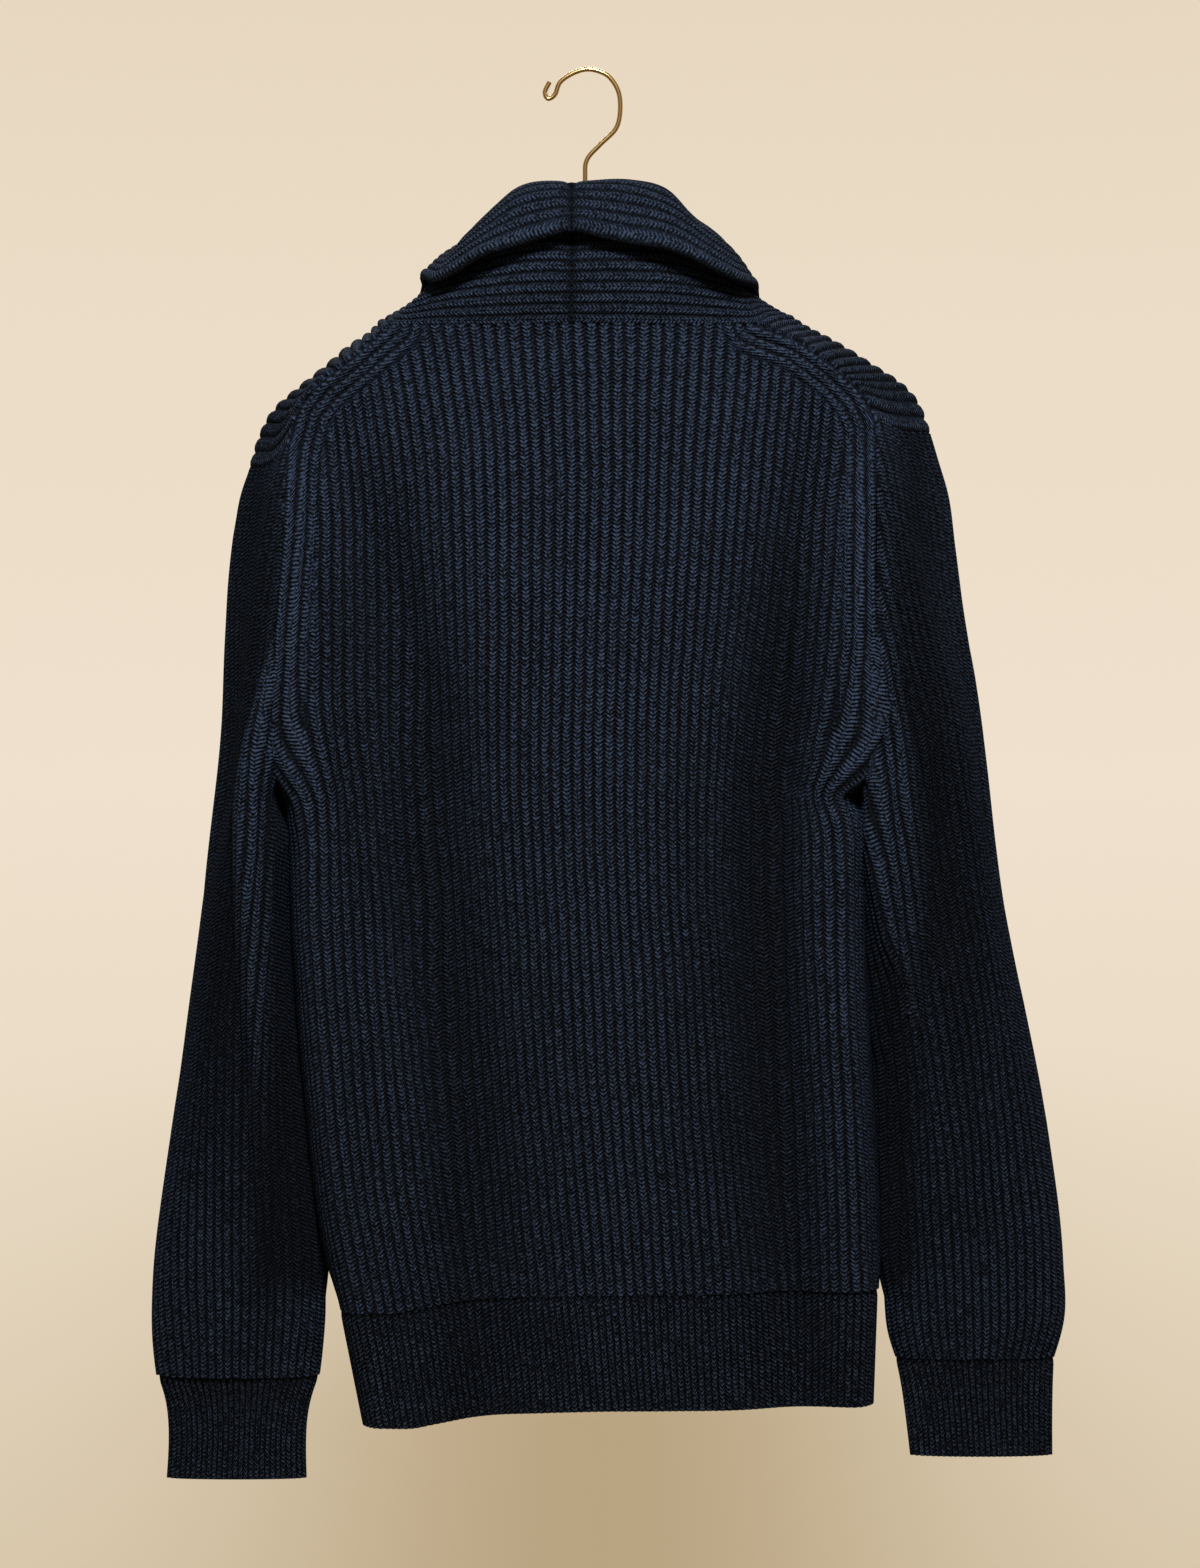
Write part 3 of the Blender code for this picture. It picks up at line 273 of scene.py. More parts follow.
# How a column that starts off its section's form comes back to it further down.
BACK_SETTLE_POWER = 2.2
FRONT_SETTLE_POWER = 1.6
PIT_SETTLE = 0.15  # the share of the lower body that takes up the pit's shape
SLEEVE_SETTLE = 115.0  # how far below the pit a sleeve's column takes the sleeve's form
HANG_SETTLE = 300.0  # and how far below the armhole above it
UNDERARM_DEPTHS = (441.5, 445.0)  # below the origin, where the one passes into the other


def unit(vectors):
    """The vectors at length 1."""
    length = np.linalg.norm(vectors, axis=-1, keepdims=True)
    return vectors / np.maximum(length, 1e-9)


def read(values, name, z):
    """A column of a table at a height, between its rows."""
    return np.interp(-z, -values["z"], values[name])


def mix(first, second, share):
    """The point this share of the way from the first to the second."""
    return first + (second - first) * share


def ramp_up(value, start, width):
    """From 0 at the start to 1 at this width beyond it."""
    return np.clip((value - start) / width, 0, 1)


def bell(offset, width):
    """A bell curve: 1 in its middle, fading with the offset."""
    return np.exp(-((offset / width) ** 2))


def axes(points):
    """The x, y and z of a grid of points, with 0 where there is none."""
    return (np.nan_to_num(points[..., n]) for n in range(3))


def side_of(sign):
    """The name of the garment's side with this sign of X."""
    return "right" if sign > 0 else "left"


def band_middle(z):
    """Where the button band's middle hangs, at a height."""
    return mix(*BAND_MIDDLE, (z - BREAK_HEIGHT) / (HEM_BOTTOM_HEIGHT - BREAK_HEIGHT))


def hem_height(x):
    """The hem seam's height, lower towards the left side."""
    return HEM_SEAM_HEIGHT + HEM_SWAY_LEFT * np.clip(-x / HEM_SWAY_REACH, 0.0, 1.0) ** 2


# -------------------------------------------------------------- coarse panels


class Panel:
    """A piece's inside on a coarse grid: rows down the ribs, columns across them.

    points are in millimetres, cells says which squares of the grid are cloth, a tube's
    last column joins its first, facing turns its normals outward, and lasts holds each
    row's last column where rows stop short.
    """

    def __init__(self, name, points, tube=False, facing=1.0, lasts=None):
        self.name = name
        self.points = np.array(points, float)
        self.tube = tube
        self.facing = facing
        self.lasts = lasts
        rows, columns = self.points.shape[:2]
        self.cells = np.ones((rows - 1, columns if tube else columns - 1), bool)


def hang(points, row, column, bottom, shares, settles, section):
    """Fills a column downwards from its point at a row.

    The rows lie at these shares of the way to the bottom, on the section's form. Each
    settle is the part of the first point's distance from that form that a row keeps.
    """
    start = points[row, column].copy()
    slip = start - section(start[2])
    for place, (share, settle) in enumerate(zip(shares, settles)):
        z = mix(start[2], bottom, share)
        spot = section(z) + slip * settle
        spot[2] = z
        points[row + place, column] = spot


def hang_lower(points, row, column, section):
    """Fills a column of the body from its point at the pit's row to the hem's seam."""
    bottom = hem_height(points[row, column][0])
    settles = [max(0.0, 1 - share / PIT_SETTLE) ** 2 for share in LOWER_ROWS]
    hang(points, row, column, bottom, LOWER_ROWS, settles, section)


# ------------------------------------------------------------------- the back


def shoulder_seam(columns, column, side):
    """A point of the shoulder seam, at a column of the back or of the front."""
    names = (side + "_x", "y", side + "_z")
    return np.array([np.interp(column, SHOULDER_SEAM[columns], SHOULDER_SEAM[n]) for n in names])


def seam_top(column):
    """The top point of one of the back's columns: neck, shoulder or underarm."""
    sign = 1 if column >= 0 else -1
    across = abs(column)
    if across <= BACK_NECK:
        return neck_point(column)
    if across <= BACK_ARM:
        return shoulder_seam("back", across, side_of(sign))
    return underarm(sign, (across - BACK_ARM) / (BACK_SIDE - BACK_ARM) / 2)


def neck_point(column):
    """A point of the back neck seam, straight between the collar's rows."""
    corner = shoulder_seam("back", BACK_NECK, side_of(1 if column >= 0 else -1))
    middle = np.array([CENTRE_BACK, BACK["middle_y"][0], BACK["z"][0]])
    stops = []
    for stop in COLLAR_ROWS_BACK:
        share = stop / BACK_NECK
        spot = mix(middle, corner, share)
        spot[1] = mix(middle[1], corner[1], share**2)
        stops.append(spot)
    stops = np.array(stops)
    return np.array([np.interp(abs(column), COLLAR_ROWS_BACK, stops[:, n]) for n in range(3)])


def armhole_point(side, row, face):
    """A point of the armhole seam on the back or front face."""
    names = (side + "_x", face + "_y", side + "_z")
    return np.array([ARMHOLE[name][row] for name in names])


def underarm(sign, share):
    """The underarm curve, from the back of the pit (0) to its front (1)."""
    side = side_of(sign)
    spot = mix(armhole_point(side, 3, "back"), armhole_point(side, 3, "front"), share)
    sag = math.sin(math.pi * share)
    return spot - sag * np.array([sign * UNDERARM_IN, 0.0, UNDERARM_DOWN])


def fold_depth(x, z):
    """How far the back's two long valleys draw it in, at a place."""
    left = bell(x - read(BACK, "left_fold_x", z), FOLD_WIDTH)
    right = bell(x - read(BACK, "right_fold_x", z), FOLD_WIDTH)
    return read(BACK, "fold", z) * (LEFT_FOLD_SHARE * left + right)


def soft_edge(name, z):
    """A side edge of the back with its notch below the pit evened out."""
    return sum(read(BACK, name, z + step) for step in EDGE_BLUR) / len(EDGE_BLUR)


def side_turn(x, y, z, edge, turn):
    """The side beyond a face's edge, turning in to the side seam."""
    reach = min(1.0, turn * TURN_SPEED)
    return np.array([mix(x, edge, 1 - (1 - reach) ** 2), y * (1 - turn), z])


def back_section(column, z):
    """The inside of the back at a column and a height."""
    left = read(BACK, "left_x", z) + COAT
    right = read(BACK, "right_x", z) - COAT
    inset = 0.0 if z > PIT_HEIGHT else EDGE_INSET
    across = min(abs(column), BACK_ARM) * (1 if column > 0 else -1)
    share = (across + BACK_ARM) / (2 * BACK_ARM)
    soft_left = soft_edge("left_x", z) + COAT + EDGE_INSET
    soft_right = soft_edge("right_x", z) - COAT - EDGE_INSET
    notch = left + inset - soft_left if share < 0.5 else right - inset - soft_right
    outward = abs(2 * share - 1)
    x = mix(soft_left, soft_right, share) + notch * outward**NOTCH_POWER
    bow = outward**BACK_BOW_POWER
    y = mix(read(BACK, "middle_y", z), read(BACK, "edge_y", z), bow) + COAT
    if abs(column) <= BACK_ARM:
        return np.array([x, y + fold_depth(x, z) * (1 - bow**3), z])
    turn = (abs(column) - BACK_ARM) / (BACK_SIDE - BACK_ARM)
    return side_turn(x, y, z, right if column > 0 else left, turn)


def back_panel():
    """The back: its top edge is the neck, the shoulders and the underarms."""
    columns = range(-BACK_SIDE, BACK_SIDE + 1)
    pit_row = len(BACK_UPPER_ROWS) - 1
    points = np.zeros((pit_row + len(LOWER_ROWS), len(columns), 3))
    settles = [(1 - share) ** BACK_SETTLE_POWER for share in BACK_UPPER_ROWS]
    for k, column in enumerate(columns):
        section = partial(back_section, column)
        points[: pit_row + 1, k] = seam_top(column)
        if abs(column) == BACK_ARM:
            side = side_of(1 if column >= 0 else -1)
            for row in range(pit_row + 1):
                points[row, k] = armhole_point(side, row, "back")
        elif abs(column) < BACK_ARM:
            hang(points, 0, k, PIT_HEIGHT, BACK_UPPER_ROWS, settles, section)
        hang_lower(points, pit_row, k, section)
    panel = Panel("back_panel", points, facing=-1.0)
    gap = BACK_SIDE - BACK_ARM
    panel.cells[:pit_row, :gap] = False
    panel.cells[:pit_row, -gap:] = False
    return panel


# ----------------------------------------------------------------- the fronts


def band_edge(sign, z):
    """The straight line where a front panel meets its button band."""
    lift = BAND_LIFT if sign < 0 else 0.0
    middle = read(FRONT, "middle_y", z)
    return np.array([band_middle(z) + sign * BAND_WIDTH / 2, middle + lift, z])


def front_section(sign, column, z):
    """The inside of a front at a column and a height."""
    edge = read(BACK, side_of(sign) + "_x", z) - sign * COAT
    inset = EDGE_INSET if z <= PIT_HEIGHT else 0.0
    inner = band_edge(sign, z)
    share = min(column, FRONT_ARM) / FRONT_ARM
    x = mix(inner[0], edge - sign * inset, share)
    y = mix(inner[1], read(FRONT, "edge_y", z) - COAT, share**FRONT_BOW_POWER)
    if column <= FRONT_ARM:
        fold = read(FRONT, "fold", z) * bell(share - read(FRONT, "fold_at", z), FRONT_FOLD_WIDTH)
        return np.array([x, y - fold, z])
    return side_turn(x, y, z, edge, (column - FRONT_ARM) / (FRONT_SIDE - FRONT_ARM))


def shoulder_points(sign, column):
    """A front column's way over the shoulder: back seam, slope, top, and yoke."""
    side = side_of(sign)
    seam = shoulder_seam("front", column, side)
    ridge_x, ridge_z = (
        np.interp(column, SHOULDER_TOP["front"], SHOULDER_TOP[side + end]) for end in ("_x", "_z")
    )
    ridge = np.array([ridge_x, 0.0, ridge_z - COAT])
    slope = mix(seam, ridge, SLOPE_SHARE) + np.array([0.0, 0.0, SLOPE_LIFT])
    slope[2] = min(slope[2], ridge[2] - SLOPE_DROP)
    inward, forward, down = (
        np.interp(column, YOKE_FALL["front"], YOKE_FALL[name])
        for name in ("inward", "forward", "down")
    )
    yoke = ridge + np.array([-sign * inward, forward, -down])
    return seam, slope, ridge, yoke


def front_panel(sign):
    """A front: over the shoulder to the back, with its slanting neck edge."""
    side = side_of(sign)
    points = np.zeros((PIT_ROW + len(LOWER_ROWS), FRONT_SIDE + 1, 3))
    neck = shoulder_points(sign, FRONT_NECK)[3]
    lapel_break = band_edge(sign, BREAK_HEIGHT)
    settles = [(1 - share) ** FRONT_SETTLE_POWER for share in FRONT_UPPER_ROWS]
    for column in range(FRONT_SIDE + 1):
        section = partial(front_section, sign, column)
        if column > FRONT_ARM:
            share = 1 - (column - FRONT_ARM) / (FRONT_SIDE - FRONT_ARM) / 2
            points[: PIT_ROW + 1, column] = underarm(sign, share)
        elif column >= FRONT_NECK:
            points[: YOKE_ROW + 1, column] = shoulder_points(sign, column)
        else:
            points[: YOKE_ROW + 1, column] = mix(lapel_break, neck, column / FRONT_NECK)
        if column == FRONT_ARM:
            for row in (1, 2, 3):
                points[YOKE_ROW + row, column] = armhole_point(side, row, "front")
        elif column < FRONT_ARM:
            hang(points, YOKE_ROW, column, PIT_HEIGHT, FRONT_UPPER_ROWS, settles, section)
        hang_lower(points, PIT_ROW, column, section)
    panel = Panel("front_" + side, points, facing=sign)
    panel.cells[:YOKE_ROW, :FRONT_NECK] = False
    panel.cells[:PIT_ROW, FRONT_ARM:] = False
    return panel


# ---------------------------------------------------------------- the sleeves


def sleeve_ring(sign, column, z):
    """The inside of a sleeve at a column and a height."""
    values = SLEEVE_RIGHT if sign > 0 else SLEEVE_LEFT
    outer = read(values, "outer_x", z) - sign * COAT
    inner = read(values, "inner_x", z) + sign * COAT
    half_depth = read(values, "half_depth", z) - COAT
    turn = 2 * math.pi * column / SLEEVE_ROUND
    y = read(values, "middle_y", z) - half_depth * math.sin(turn)
    for at, size in SLEEVE_FOLDS:
        y += size * read(values, "fold", z) * bell(turn - at, SLEEVE_FOLD_WIDTH)
    return np.array([mix(inner, outer, 0.5 - 0.5 * math.cos(turn)), y, z])


def armhole_loop(sign, front):
    """The armhole's points in the sleeve's columns, from the underarm round the back."""
    side = side_of(sign)
    steps = BACK_SIDE - BACK_ARM
    edge = front.points[:, FRONT_ARM]
    # each stop and the number of columns from it to the next
    stops = [(underarm(sign, 0.5 - 0.5 * n / steps), 1) for n in range(steps)]
    stops += [(armhole_point(side, row, "back"), columns) for row, columns in ((3, 2), (2, 1), (1, 1))]
    stops += list(zip(edge, (2, 1, 2, 1, 1, 2)))
    stops += [(underarm(sign, 1 - 0.5 * n / steps), 1) for n in range(steps)]
    loop = []
    for place, (spot, columns) in enumerate(stops):
        after = stops[(place + 1) % len(stops)][0]
        loop += [mix(spot, after, n / columns) for n in range(columns)]
    return loop


def sleeve(sign, front):
    """A sleeve: a tube whose columns hang from the armhole."""
    side = side_of(sign)
    bottom = CUFF_SEAM[side]
    points = np.zeros((len(SLEEVE_ROWS), SLEEVE_ROUND, 3))
    for column, top in enumerate(armhole_loop(sign, front)):
        reach = np.interp(-top[2], UNDERARM_DEPTHS, (HANG_SETTLE, SLEEVE_SETTLE))
        fallen = [min(share * (top[2] - bottom) / reach, 1.0) for share in SLEEVE_ROWS]
        settles = [1 - part**2 * (3 - 2 * part) for part in fallen]
        points[0, column] = top
        hang(points, 0, column, bottom, SLEEVE_ROWS, settles, partial(sleeve_ring, sign, column))
    return Panel("sleeve_" + side, points, tube=True, facing=-sign)


def cuff(sign, above):
    """A cuff: narrower below its seam, then straight."""
    side = side_of(sign)
    rows = [above.points[-1]]
    for z in (CUFF_SEAM[side] - CUFF_STEP, CUFF_BOTTOM[side]):
        rows.append([sleeve_ring(sign, column, z) for column in range(SLEEVE_ROUND)])
    return Panel("cuff_" + side, rows, tube=True, facing=-sign)


# -------------------------------------------------------------- the hem bands


def hem_band(name, above, facing, section):
    """A band of finer rib below a panel, as deep all round."""
    top = above.points[-1]
    depth = HEM_BOTTOM_HEIGHT - HEM_SEAM_HEIGHT
    bottom = [section(k, spot[2] + depth) for k, spot in enumerate(top)]
    return Panel(name, [top, bottom], facing=facing)


def back_hem(above):
    """The band below the back."""
    return hem_band("hem_back", above, -1.0, lambda k, z: back_section(k - BACK_SIDE, z))


def front_hem(sign, above):
    """The band below a front."""
    return hem_band("hem_front_" + side_of(sign), above, sign, partial(front_section, sign))


# ----------------------------------------------------------------- the collar


def bezier(a, b, c, d, count=24):
    """Points along a cubic."""
    t = np.linspace(0, 1, count)[:, None]
    return a * (1 - t) ** 3 + 3 * b * t * (1 - t) ** 2 + 3 * c * t**2 * (1 - t) + d * t**3


def along(path, share):
    """The point this share of the way along a path."""
    steps = np.linalg.norm(np.diff(path, axis=0), axis=1)
    walked = np.concatenate([[0], np.cumsum(steps)])
    at = share * walked[-1]
    return np.array([np.interp(at, walked, path[:, n]) for n in range(3)])


def collar_row(seam, values, row, last):
    """One line across the collar, from its free edge over the fold to the neck seam."""
    fold = np.array([values[name][row] for name in ("fold_x", "fold_y", "fold_z")])
    edge = np.array([values[name][row] for name in ("edge_x", "edge_y", "edge_z")])
    fold_at = values["fold_at"][row]
    out = unit((edge - fold) * np.array([1, 1, 0]))
    roll = out * values["roll"][row]
    belly = out * values["belly"][row]
    stand = bezier(seam, mix(seam, fold, 0.5) + belly, fold - roll, fold)
    leaf = bezier(fold, fold + roll, mix(edge, fold, 0.4) + roll * LEAF_ROLL, edge)
    line = []
    for column in range(COLLAR_SEAM + 1):
        if column >= fold_at:
            line.append(along(stand, max(0.0, last - column) / (last - fold_at)))
        else:
            line.append(along(leaf, (fold_at - column) / fold_at))
    return line


def collar_half(sign, front, hem):
    """Half of the shawl collar, which runs on below the break as a button band.

    Past the yoke's corner the neckline cuts off a column of the collar at each row,
    so the ribs stay parallel to the free edge and end in the seam.
    """
    values = COLLAR_RIGHT if sign > 0 else COLLAR_LEFT
    slope, ridge, yoke = (front.points[row, FRONT_NECK] for row in (1, 2, 3))
    seams = [neck_point(sign * column) for column in COLLAR_ROWS_BACK]
    seams += [slope, ridge, mix(ridge, yoke, 0.5)]
    lasts = [COLLAR_SEAM] * len(seams)
    for column in range(FRONT_NECK, 0, -1):
        seams.append(front.points[YOKE_ROW, column])
        lasts.append(COLLAR_BAND + column)
    lines = [
        collar_row(seam, values, row, last)
        for row, (seam, last) in enumerate(zip(seams, lasts))
    ]
    neckline_end = front.points[YOKE_ROW, 0]
    hem_seam = front.points[-1, 0]
    band_starts = [mix(neckline_end, hem_seam, share) for share in (0, 1 / 3, 2 / 3, 1)]
    band_starts.append(hem.points[1, 0])
    for start in band_starts:
        across = np.array([-sign * BAND_WIDTH / COLLAR_BAND, 0.0, 0.0])
        band = [start + across * (COLLAR_BAND - column) for column in range(COLLAR_BAND)]
        lines.append(band + [start] * (COLLAR_SEAM - COLLAR_BAND + 1))
        lasts.append(COLLAR_BAND)
    panel = Panel("collar_" + side_of(sign), lines, facing=sign, lasts=lasts)
    for row in range(len(lines) - 1):
        panel.cells[row, lasts[row] :] = False
    return panel


# ----------------------------------------------------------------- fine cloth

RIB_PHASES = np.array([0.0, 0.09, 0.25, 0.5, 0.75, 0.91])  # samples across a rib
RIB_SHARPNESS = 0.62  # below 1 a rib's back is flatter and its grooves are narrower
STITCH_HEIGHT = 2.6
WANDER = 0.035  # how far a rib drifts aside, in ribs
BLOCK_ROWS = 4  # fine rows to one of the inside's larger squares
LIGHTEST = -0.9  # the least painted shade that a ridge may have; below 0 it is a painted highlight
SHARP_ANGLE = math.radians(75)
LEVEL = 1e-9  # rows and columns this near count as the same

# The back's ribs along the shoulder and armhole seams, in millimetres.
EDGE_RIBS = 3
EDGE_RIB_PITCH = 6.6
EDGE_RIBS_END = (-435.0, 60.0)  # where they fade out, and over which height
EDGE_GROOVE_END = (-290.0, 40.0)  # the same for the groove inside them
EDGE_GROOVE = 0.3  # its width, in ribs

# The thick roll along the collar's free edge.
EDGE_ROLL = 1.5  # ribs' width
ROLL_HEIGHT = 1.9


def hermite(values, spots, at):
    """Values at spots, drawn smoothly through, read at others."""
    wide = (slice(None),) + (None,) * (values.ndim - 1)
    if len(spots) == 2:
        return mix(values[0], values[1], ((at - spots[0]) / (spots[1] - spots[0]))[wide])
    step = np.diff(spots)
    rise = np.diff(values, axis=0) / step[wide]
    slope = np.empty_like(values)
    before, after = step[:-1][wide], step[1:][wide]
    slope[1:-1] = (after * rise[:-1] + before * rise[1:]) / (before + after)
    slope[0] = 1.5 * rise[0] - 0.5 * slope[1]
    slope[-1] = 1.5 * rise[-1] - 0.5 * slope[-2]
    place = np.clip(np.searchsorted(spots, at, side="right") - 1, 0, len(spots) - 2)
    h = step[place][wide]
    t = ((at - spots[place]) / step[place])[wide]
    return (
        (2 * t**3 - 3 * t**2 + 1) * values[place]
        + (t**3 - 2 * t**2 + t) * h * slope[place]
        + (3 * t**2 - 2 * t**3) * values[place + 1]
        + (t**3 - t**2) * h * slope[place + 1]
    )


class Cloth:
    """A panel drawn finely: across at u, in its columns, and down at t, in its rows."""

    def __init__(self, panel, ribs, rows_each):
        self.panel = panel
        self.ribs = ribs
        rows, columns = panel.points.shape[:2]
        self.phase = (np.arange(ribs)[:, None] + RIB_PHASES).ravel()
        if not panel.tube:
            self.phase = np.append(self.phase, ribs)
            columns -= 1
        self.u = self.phase / (ribs / columns)
        each = [rows_each] * (rows - 1) if np.isscalar(rows_each) else rows_each
        parts = [row + np.arange(count) / count for row, count in enumerate(each)]
        self.t = np.concatenate(parts + [[rows - 1.0]])
        self.row_starts = np.concatenate([[0], np.cumsum(each)])
        self.base = self.draw_down(self.draw_across())
        # shade painted into the wool's colour along folds and seams; below 0 a painted highlight
        self.painted_shade = np.zeros(self.base.shape[:2])
        self.cells = self.find_cells()

    def spans(self):
        """The panel's points with spare ends, and the first and last column of each row."""
        panel = self.panel
        points = panel.points.copy()
        rows, columns = points.shape[:2]
        firsts, lasts = np.zeros(rows, int), np.full(rows, columns - 1)
        if panel.lasts is not None:
            for row, last in enumerate(panel.lasts):
                if last < columns - 1:
                    points[row, last + 1] = 2 * points[row, last] - points[row, last - 1]
                    lasts[row] = last + 1
        elif not panel.tube:
            padded = np.pad(panel.cells, 1)
            touching = padded[1:, 1:] | padded[1:, :-1] | padded[:-1, 1:] | padded[:-1, :-1]
            for row in range(rows):
                firsts[row], lasts[row] = np.nonzero(touching[row])[0][[0, -1]]
        return points, firsts, lasts

    def draw_across(self):
        """Each of the panel's rows at the fine columns, nan where it has none."""
        points, firsts, lasts = self.spans()
        rows, columns = points.shape[:2]
        lines = np.full((rows, len(self.u), 3), np.nan)
        for row in range(rows):
            if self.panel.tube:
                line = np.concatenate([points[row, -3:], points[row], points[row, :4]])
                lines[row] = hermite(line, np.arange(-3.0, columns + 4), self.even_places(row))
                continue
            inside = (self.u >= firsts[row] - LEVEL) & (self.u <= lasts[row] + LEVEL)
            span = np.arange(firsts[row], lasts[row] + 1)
            lines[row, inside] = hermite(points[row, span], span.astype(float), self.u[inside])
        return lines

    def draw_down(self, lines):
        """The fine grid from those rows, nan where there is no cloth."""
        gaps = np.linalg.norm(np.diff(lines, axis=0), axis=2)
        walked = np.concatenate([[0], np.cumsum(np.nanmean(gaps, axis=1))])
        at = np.interp(self.t, np.arange(len(lines)), walked)
        grid = np.full((len(self.t), len(self.u), 3), np.nan)
        # the columns that have the same rows are drawn together
        kinds, kind_of = np.unique(~np.isnan(lines[:, :, 0]).T, axis=0, return_inverse=True)
        for kind, has_row in enumerate(kinds):
            first, last = np.nonzero(has_row)[0][[0, -1]]
            if last == first:
                continue
            here = np.nonzero(kind_of.ravel() == kind)[0]
            down = np.nonzero((self.t >= first - LEVEL) & (self.t <= last + LEVEL))[0]
            span = slice(first, last + 1)
            grid[np.ix_(down, here)] = hermite(lines[span][:, here], walked[span], at[down])
        return grid

    def find_cells(self):
        """Which of the fine grid's squares are cloth."""
        panel = self.panel
        rows, columns = panel.points.shape[:2]
        middle_t = (self.t[1:] + self.t[:-1]) / 2
        middle_u = (self.u[1:] + self.u[:-1]) / 2
        if panel.tube:
            middle_u = np.append(middle_u, columns - 0.5)
        if panel.lasts is not None:
            stop = np.interp(middle_t, np.arange(rows), panel.lasts)
            cells = middle_u[None, :] < stop[:, None]
        else:
            cells = panel.cells[np.ix_(middle_t.astype(int), middle_u.astype(int))]
        for down in (0, 1):
            for across in (0, 1):
                cells &= ~np.isnan(self.corner(down, across)[..., 0])
        return cells

    def even_places(self, row):
        """Places round a tube's row that lie evenly, measured across the ribs."""
        points = self.panel.points
        last = len(points) - 1
        total = np.zeros(points.shape[1] + 1)
        for near in range(max(row - 1, 0), min(row + 1, last) + 1):
            step = np.roll(points[near], -1, axis=0) - points[near]
            lengthways = unit(points[min(near + 1, last)] - points[max(near - 1, 0)])
            sideways = step - (step * lengthways).sum(axis=1)[:, None] * lengthways
            widths = np.linalg.norm(sideways, axis=1)
            total[1:] += np.cumsum(widths) / widths.sum()
        return np.interp(self.phase / self.ribs, total / total[-1], np.arange(len(total)))

    def corner(self, down, across):
        """The grid's points at one corner of every square."""
        grid = self.base[1:] if down else self.base[:-1]
        if self.panel.tube:
            return np.roll(grid, -1, axis=1) if across else grid
        return grid[:, 1:] if across else grid[:, :-1]

    def find_normals(self):
        """The outward direction at each point."""
        across = self.corner(1, 1) - self.corner(0, 0)
        down = self.corner(1, 0) - self.corner(0, 1)
        normal = np.cross(across, down) * self.panel.facing
        normal[~self.cells] = 0.0
        if self.panel.tube:
            beside = (normal, np.roll(normal, 1, axis=1))
        else:
            beside = [np.pad(normal, ((0, 0), ends, (0, 0))) for ends in ((0, 1), (1, 0))]
        total = np.zeros_like(self.base)
        for shifted in beside:
            total[:-1] += shifted
            total[1:] += shifted
        self.normals = unit(total)

    def press(self, field):
        """Moves the surface out by a field of millimetres, and notes the shade that it paints into the
        wool's colour there; below 0 that is a painted highlight.
        """
        self.find_normals()
        rise, painted_shade = field(self.base)
        self.base = self.base + self.normals * rise[..., None]
        self.painted_shade = 1 - (1 - self.painted_shade) * (1 - np.clip(painted_shade, LIGHTEST, 1))

    def coordinates(self, from_top):
        """The rib number and the stitch number at each point, in rows level with one end."""
        steps = np.linalg.norm(np.nan_to_num(np.diff(self.base, axis=0)), axis=2)
        length = np.concatenate([np.zeros((1, steps.shape[1])), np.cumsum(steps, axis=0)])
        if not from_top:
            length -= length[-1]
        return np.tile(self.phase, (len(length), 1)), length / STITCH_HEIGHT


def rib_profile(rib):
    """The height of a rib, from 0 in its groove to 1 on its back."""
    return np.abs(np.sin(np.pi * rib)) ** RIB_SHARPNESS


def wander(cloth, rib):
    """The hand of the knitter: ribs that drift a little from side to side."""
    x, y, z = axes(cloth.base)
    drift = np.sin(z / 23.0 + x / 41.0 + y / 33.0) + 0.7 * np.sin(z / 11.0 - x / 19.0 + y / 27.0)
    return rib + WANDER * drift


def distance(x, z, line):
    """How far each point is from a line of corners, seen from behind."""
    away = np.full(x.shape, np.inf)
    for (x0, z0), (x1, z1) in zip(line, line[1:]):
        dx, dz = x1 - x0, z1 - z0
        share = np.clip(((x - x0) * dx + (z - z0) * dz) / (dx * dx + dz * dz), 0, 1)
        away = np.minimum(away, np.hypot(x - x0 - share * dx, z - z0 - share * dz))
    return away


def edge_ribs(cloth, rib):
    """The back's three ribs that follow the shoulder seam and turn down the armhole."""
    x, _, z = axes(cloth.base)
    lift = np.ones(x.shape)
    for side, sign in (("left", -1), ("right", 1)):
        line = list(zip(SHOULDER_SEAM[side + "_x"], SHOULDER_SEAM[side + "_z"]))
        line += list(zip(ARMHOLE[side + "_x"], ARMHOLE[side + "_z"]))[1:]
        ribs = distance(x, z, line) / EDGE_RIB_PITCH
        armhole_rib = 2 * (BACK_SIDE + sign * BACK_ARM)
        weight = ramp_up(z, *EDGE_RIBS_END) * (ribs < EDGE_RIBS)
        rib = mix(rib, armhole_rib - sign * ribs, weight)
        groove = ramp_up(z, *EDGE_GROOVE_END) * (ribs >= EDGE_RIBS)
        lift *= 1 - groove * (1 - ramp_up(ribs, EDGE_RIBS, EDGE_GROOVE))
    return rib, lift


def rolled_edge(cloth, rib):
    """The collar's ribs, with its free edge as one thick roll."""
    total = rib.max()
    rest = EDGE_ROLL + 0.5 + (rib - EDGE_ROLL) * (total - EDGE_ROLL - 0.5) / (total - EDGE_ROLL)
    numbers = np.where(rib < EDGE_ROLL, rib / EDGE_ROLL, rest)
    return numbers, np.where(rib < EDGE_ROLL, ROLL_HEIGHT, 1.0)


def even_ribs(cloth, rib):
    """The ribs as they are."""
    return rib, 1.0


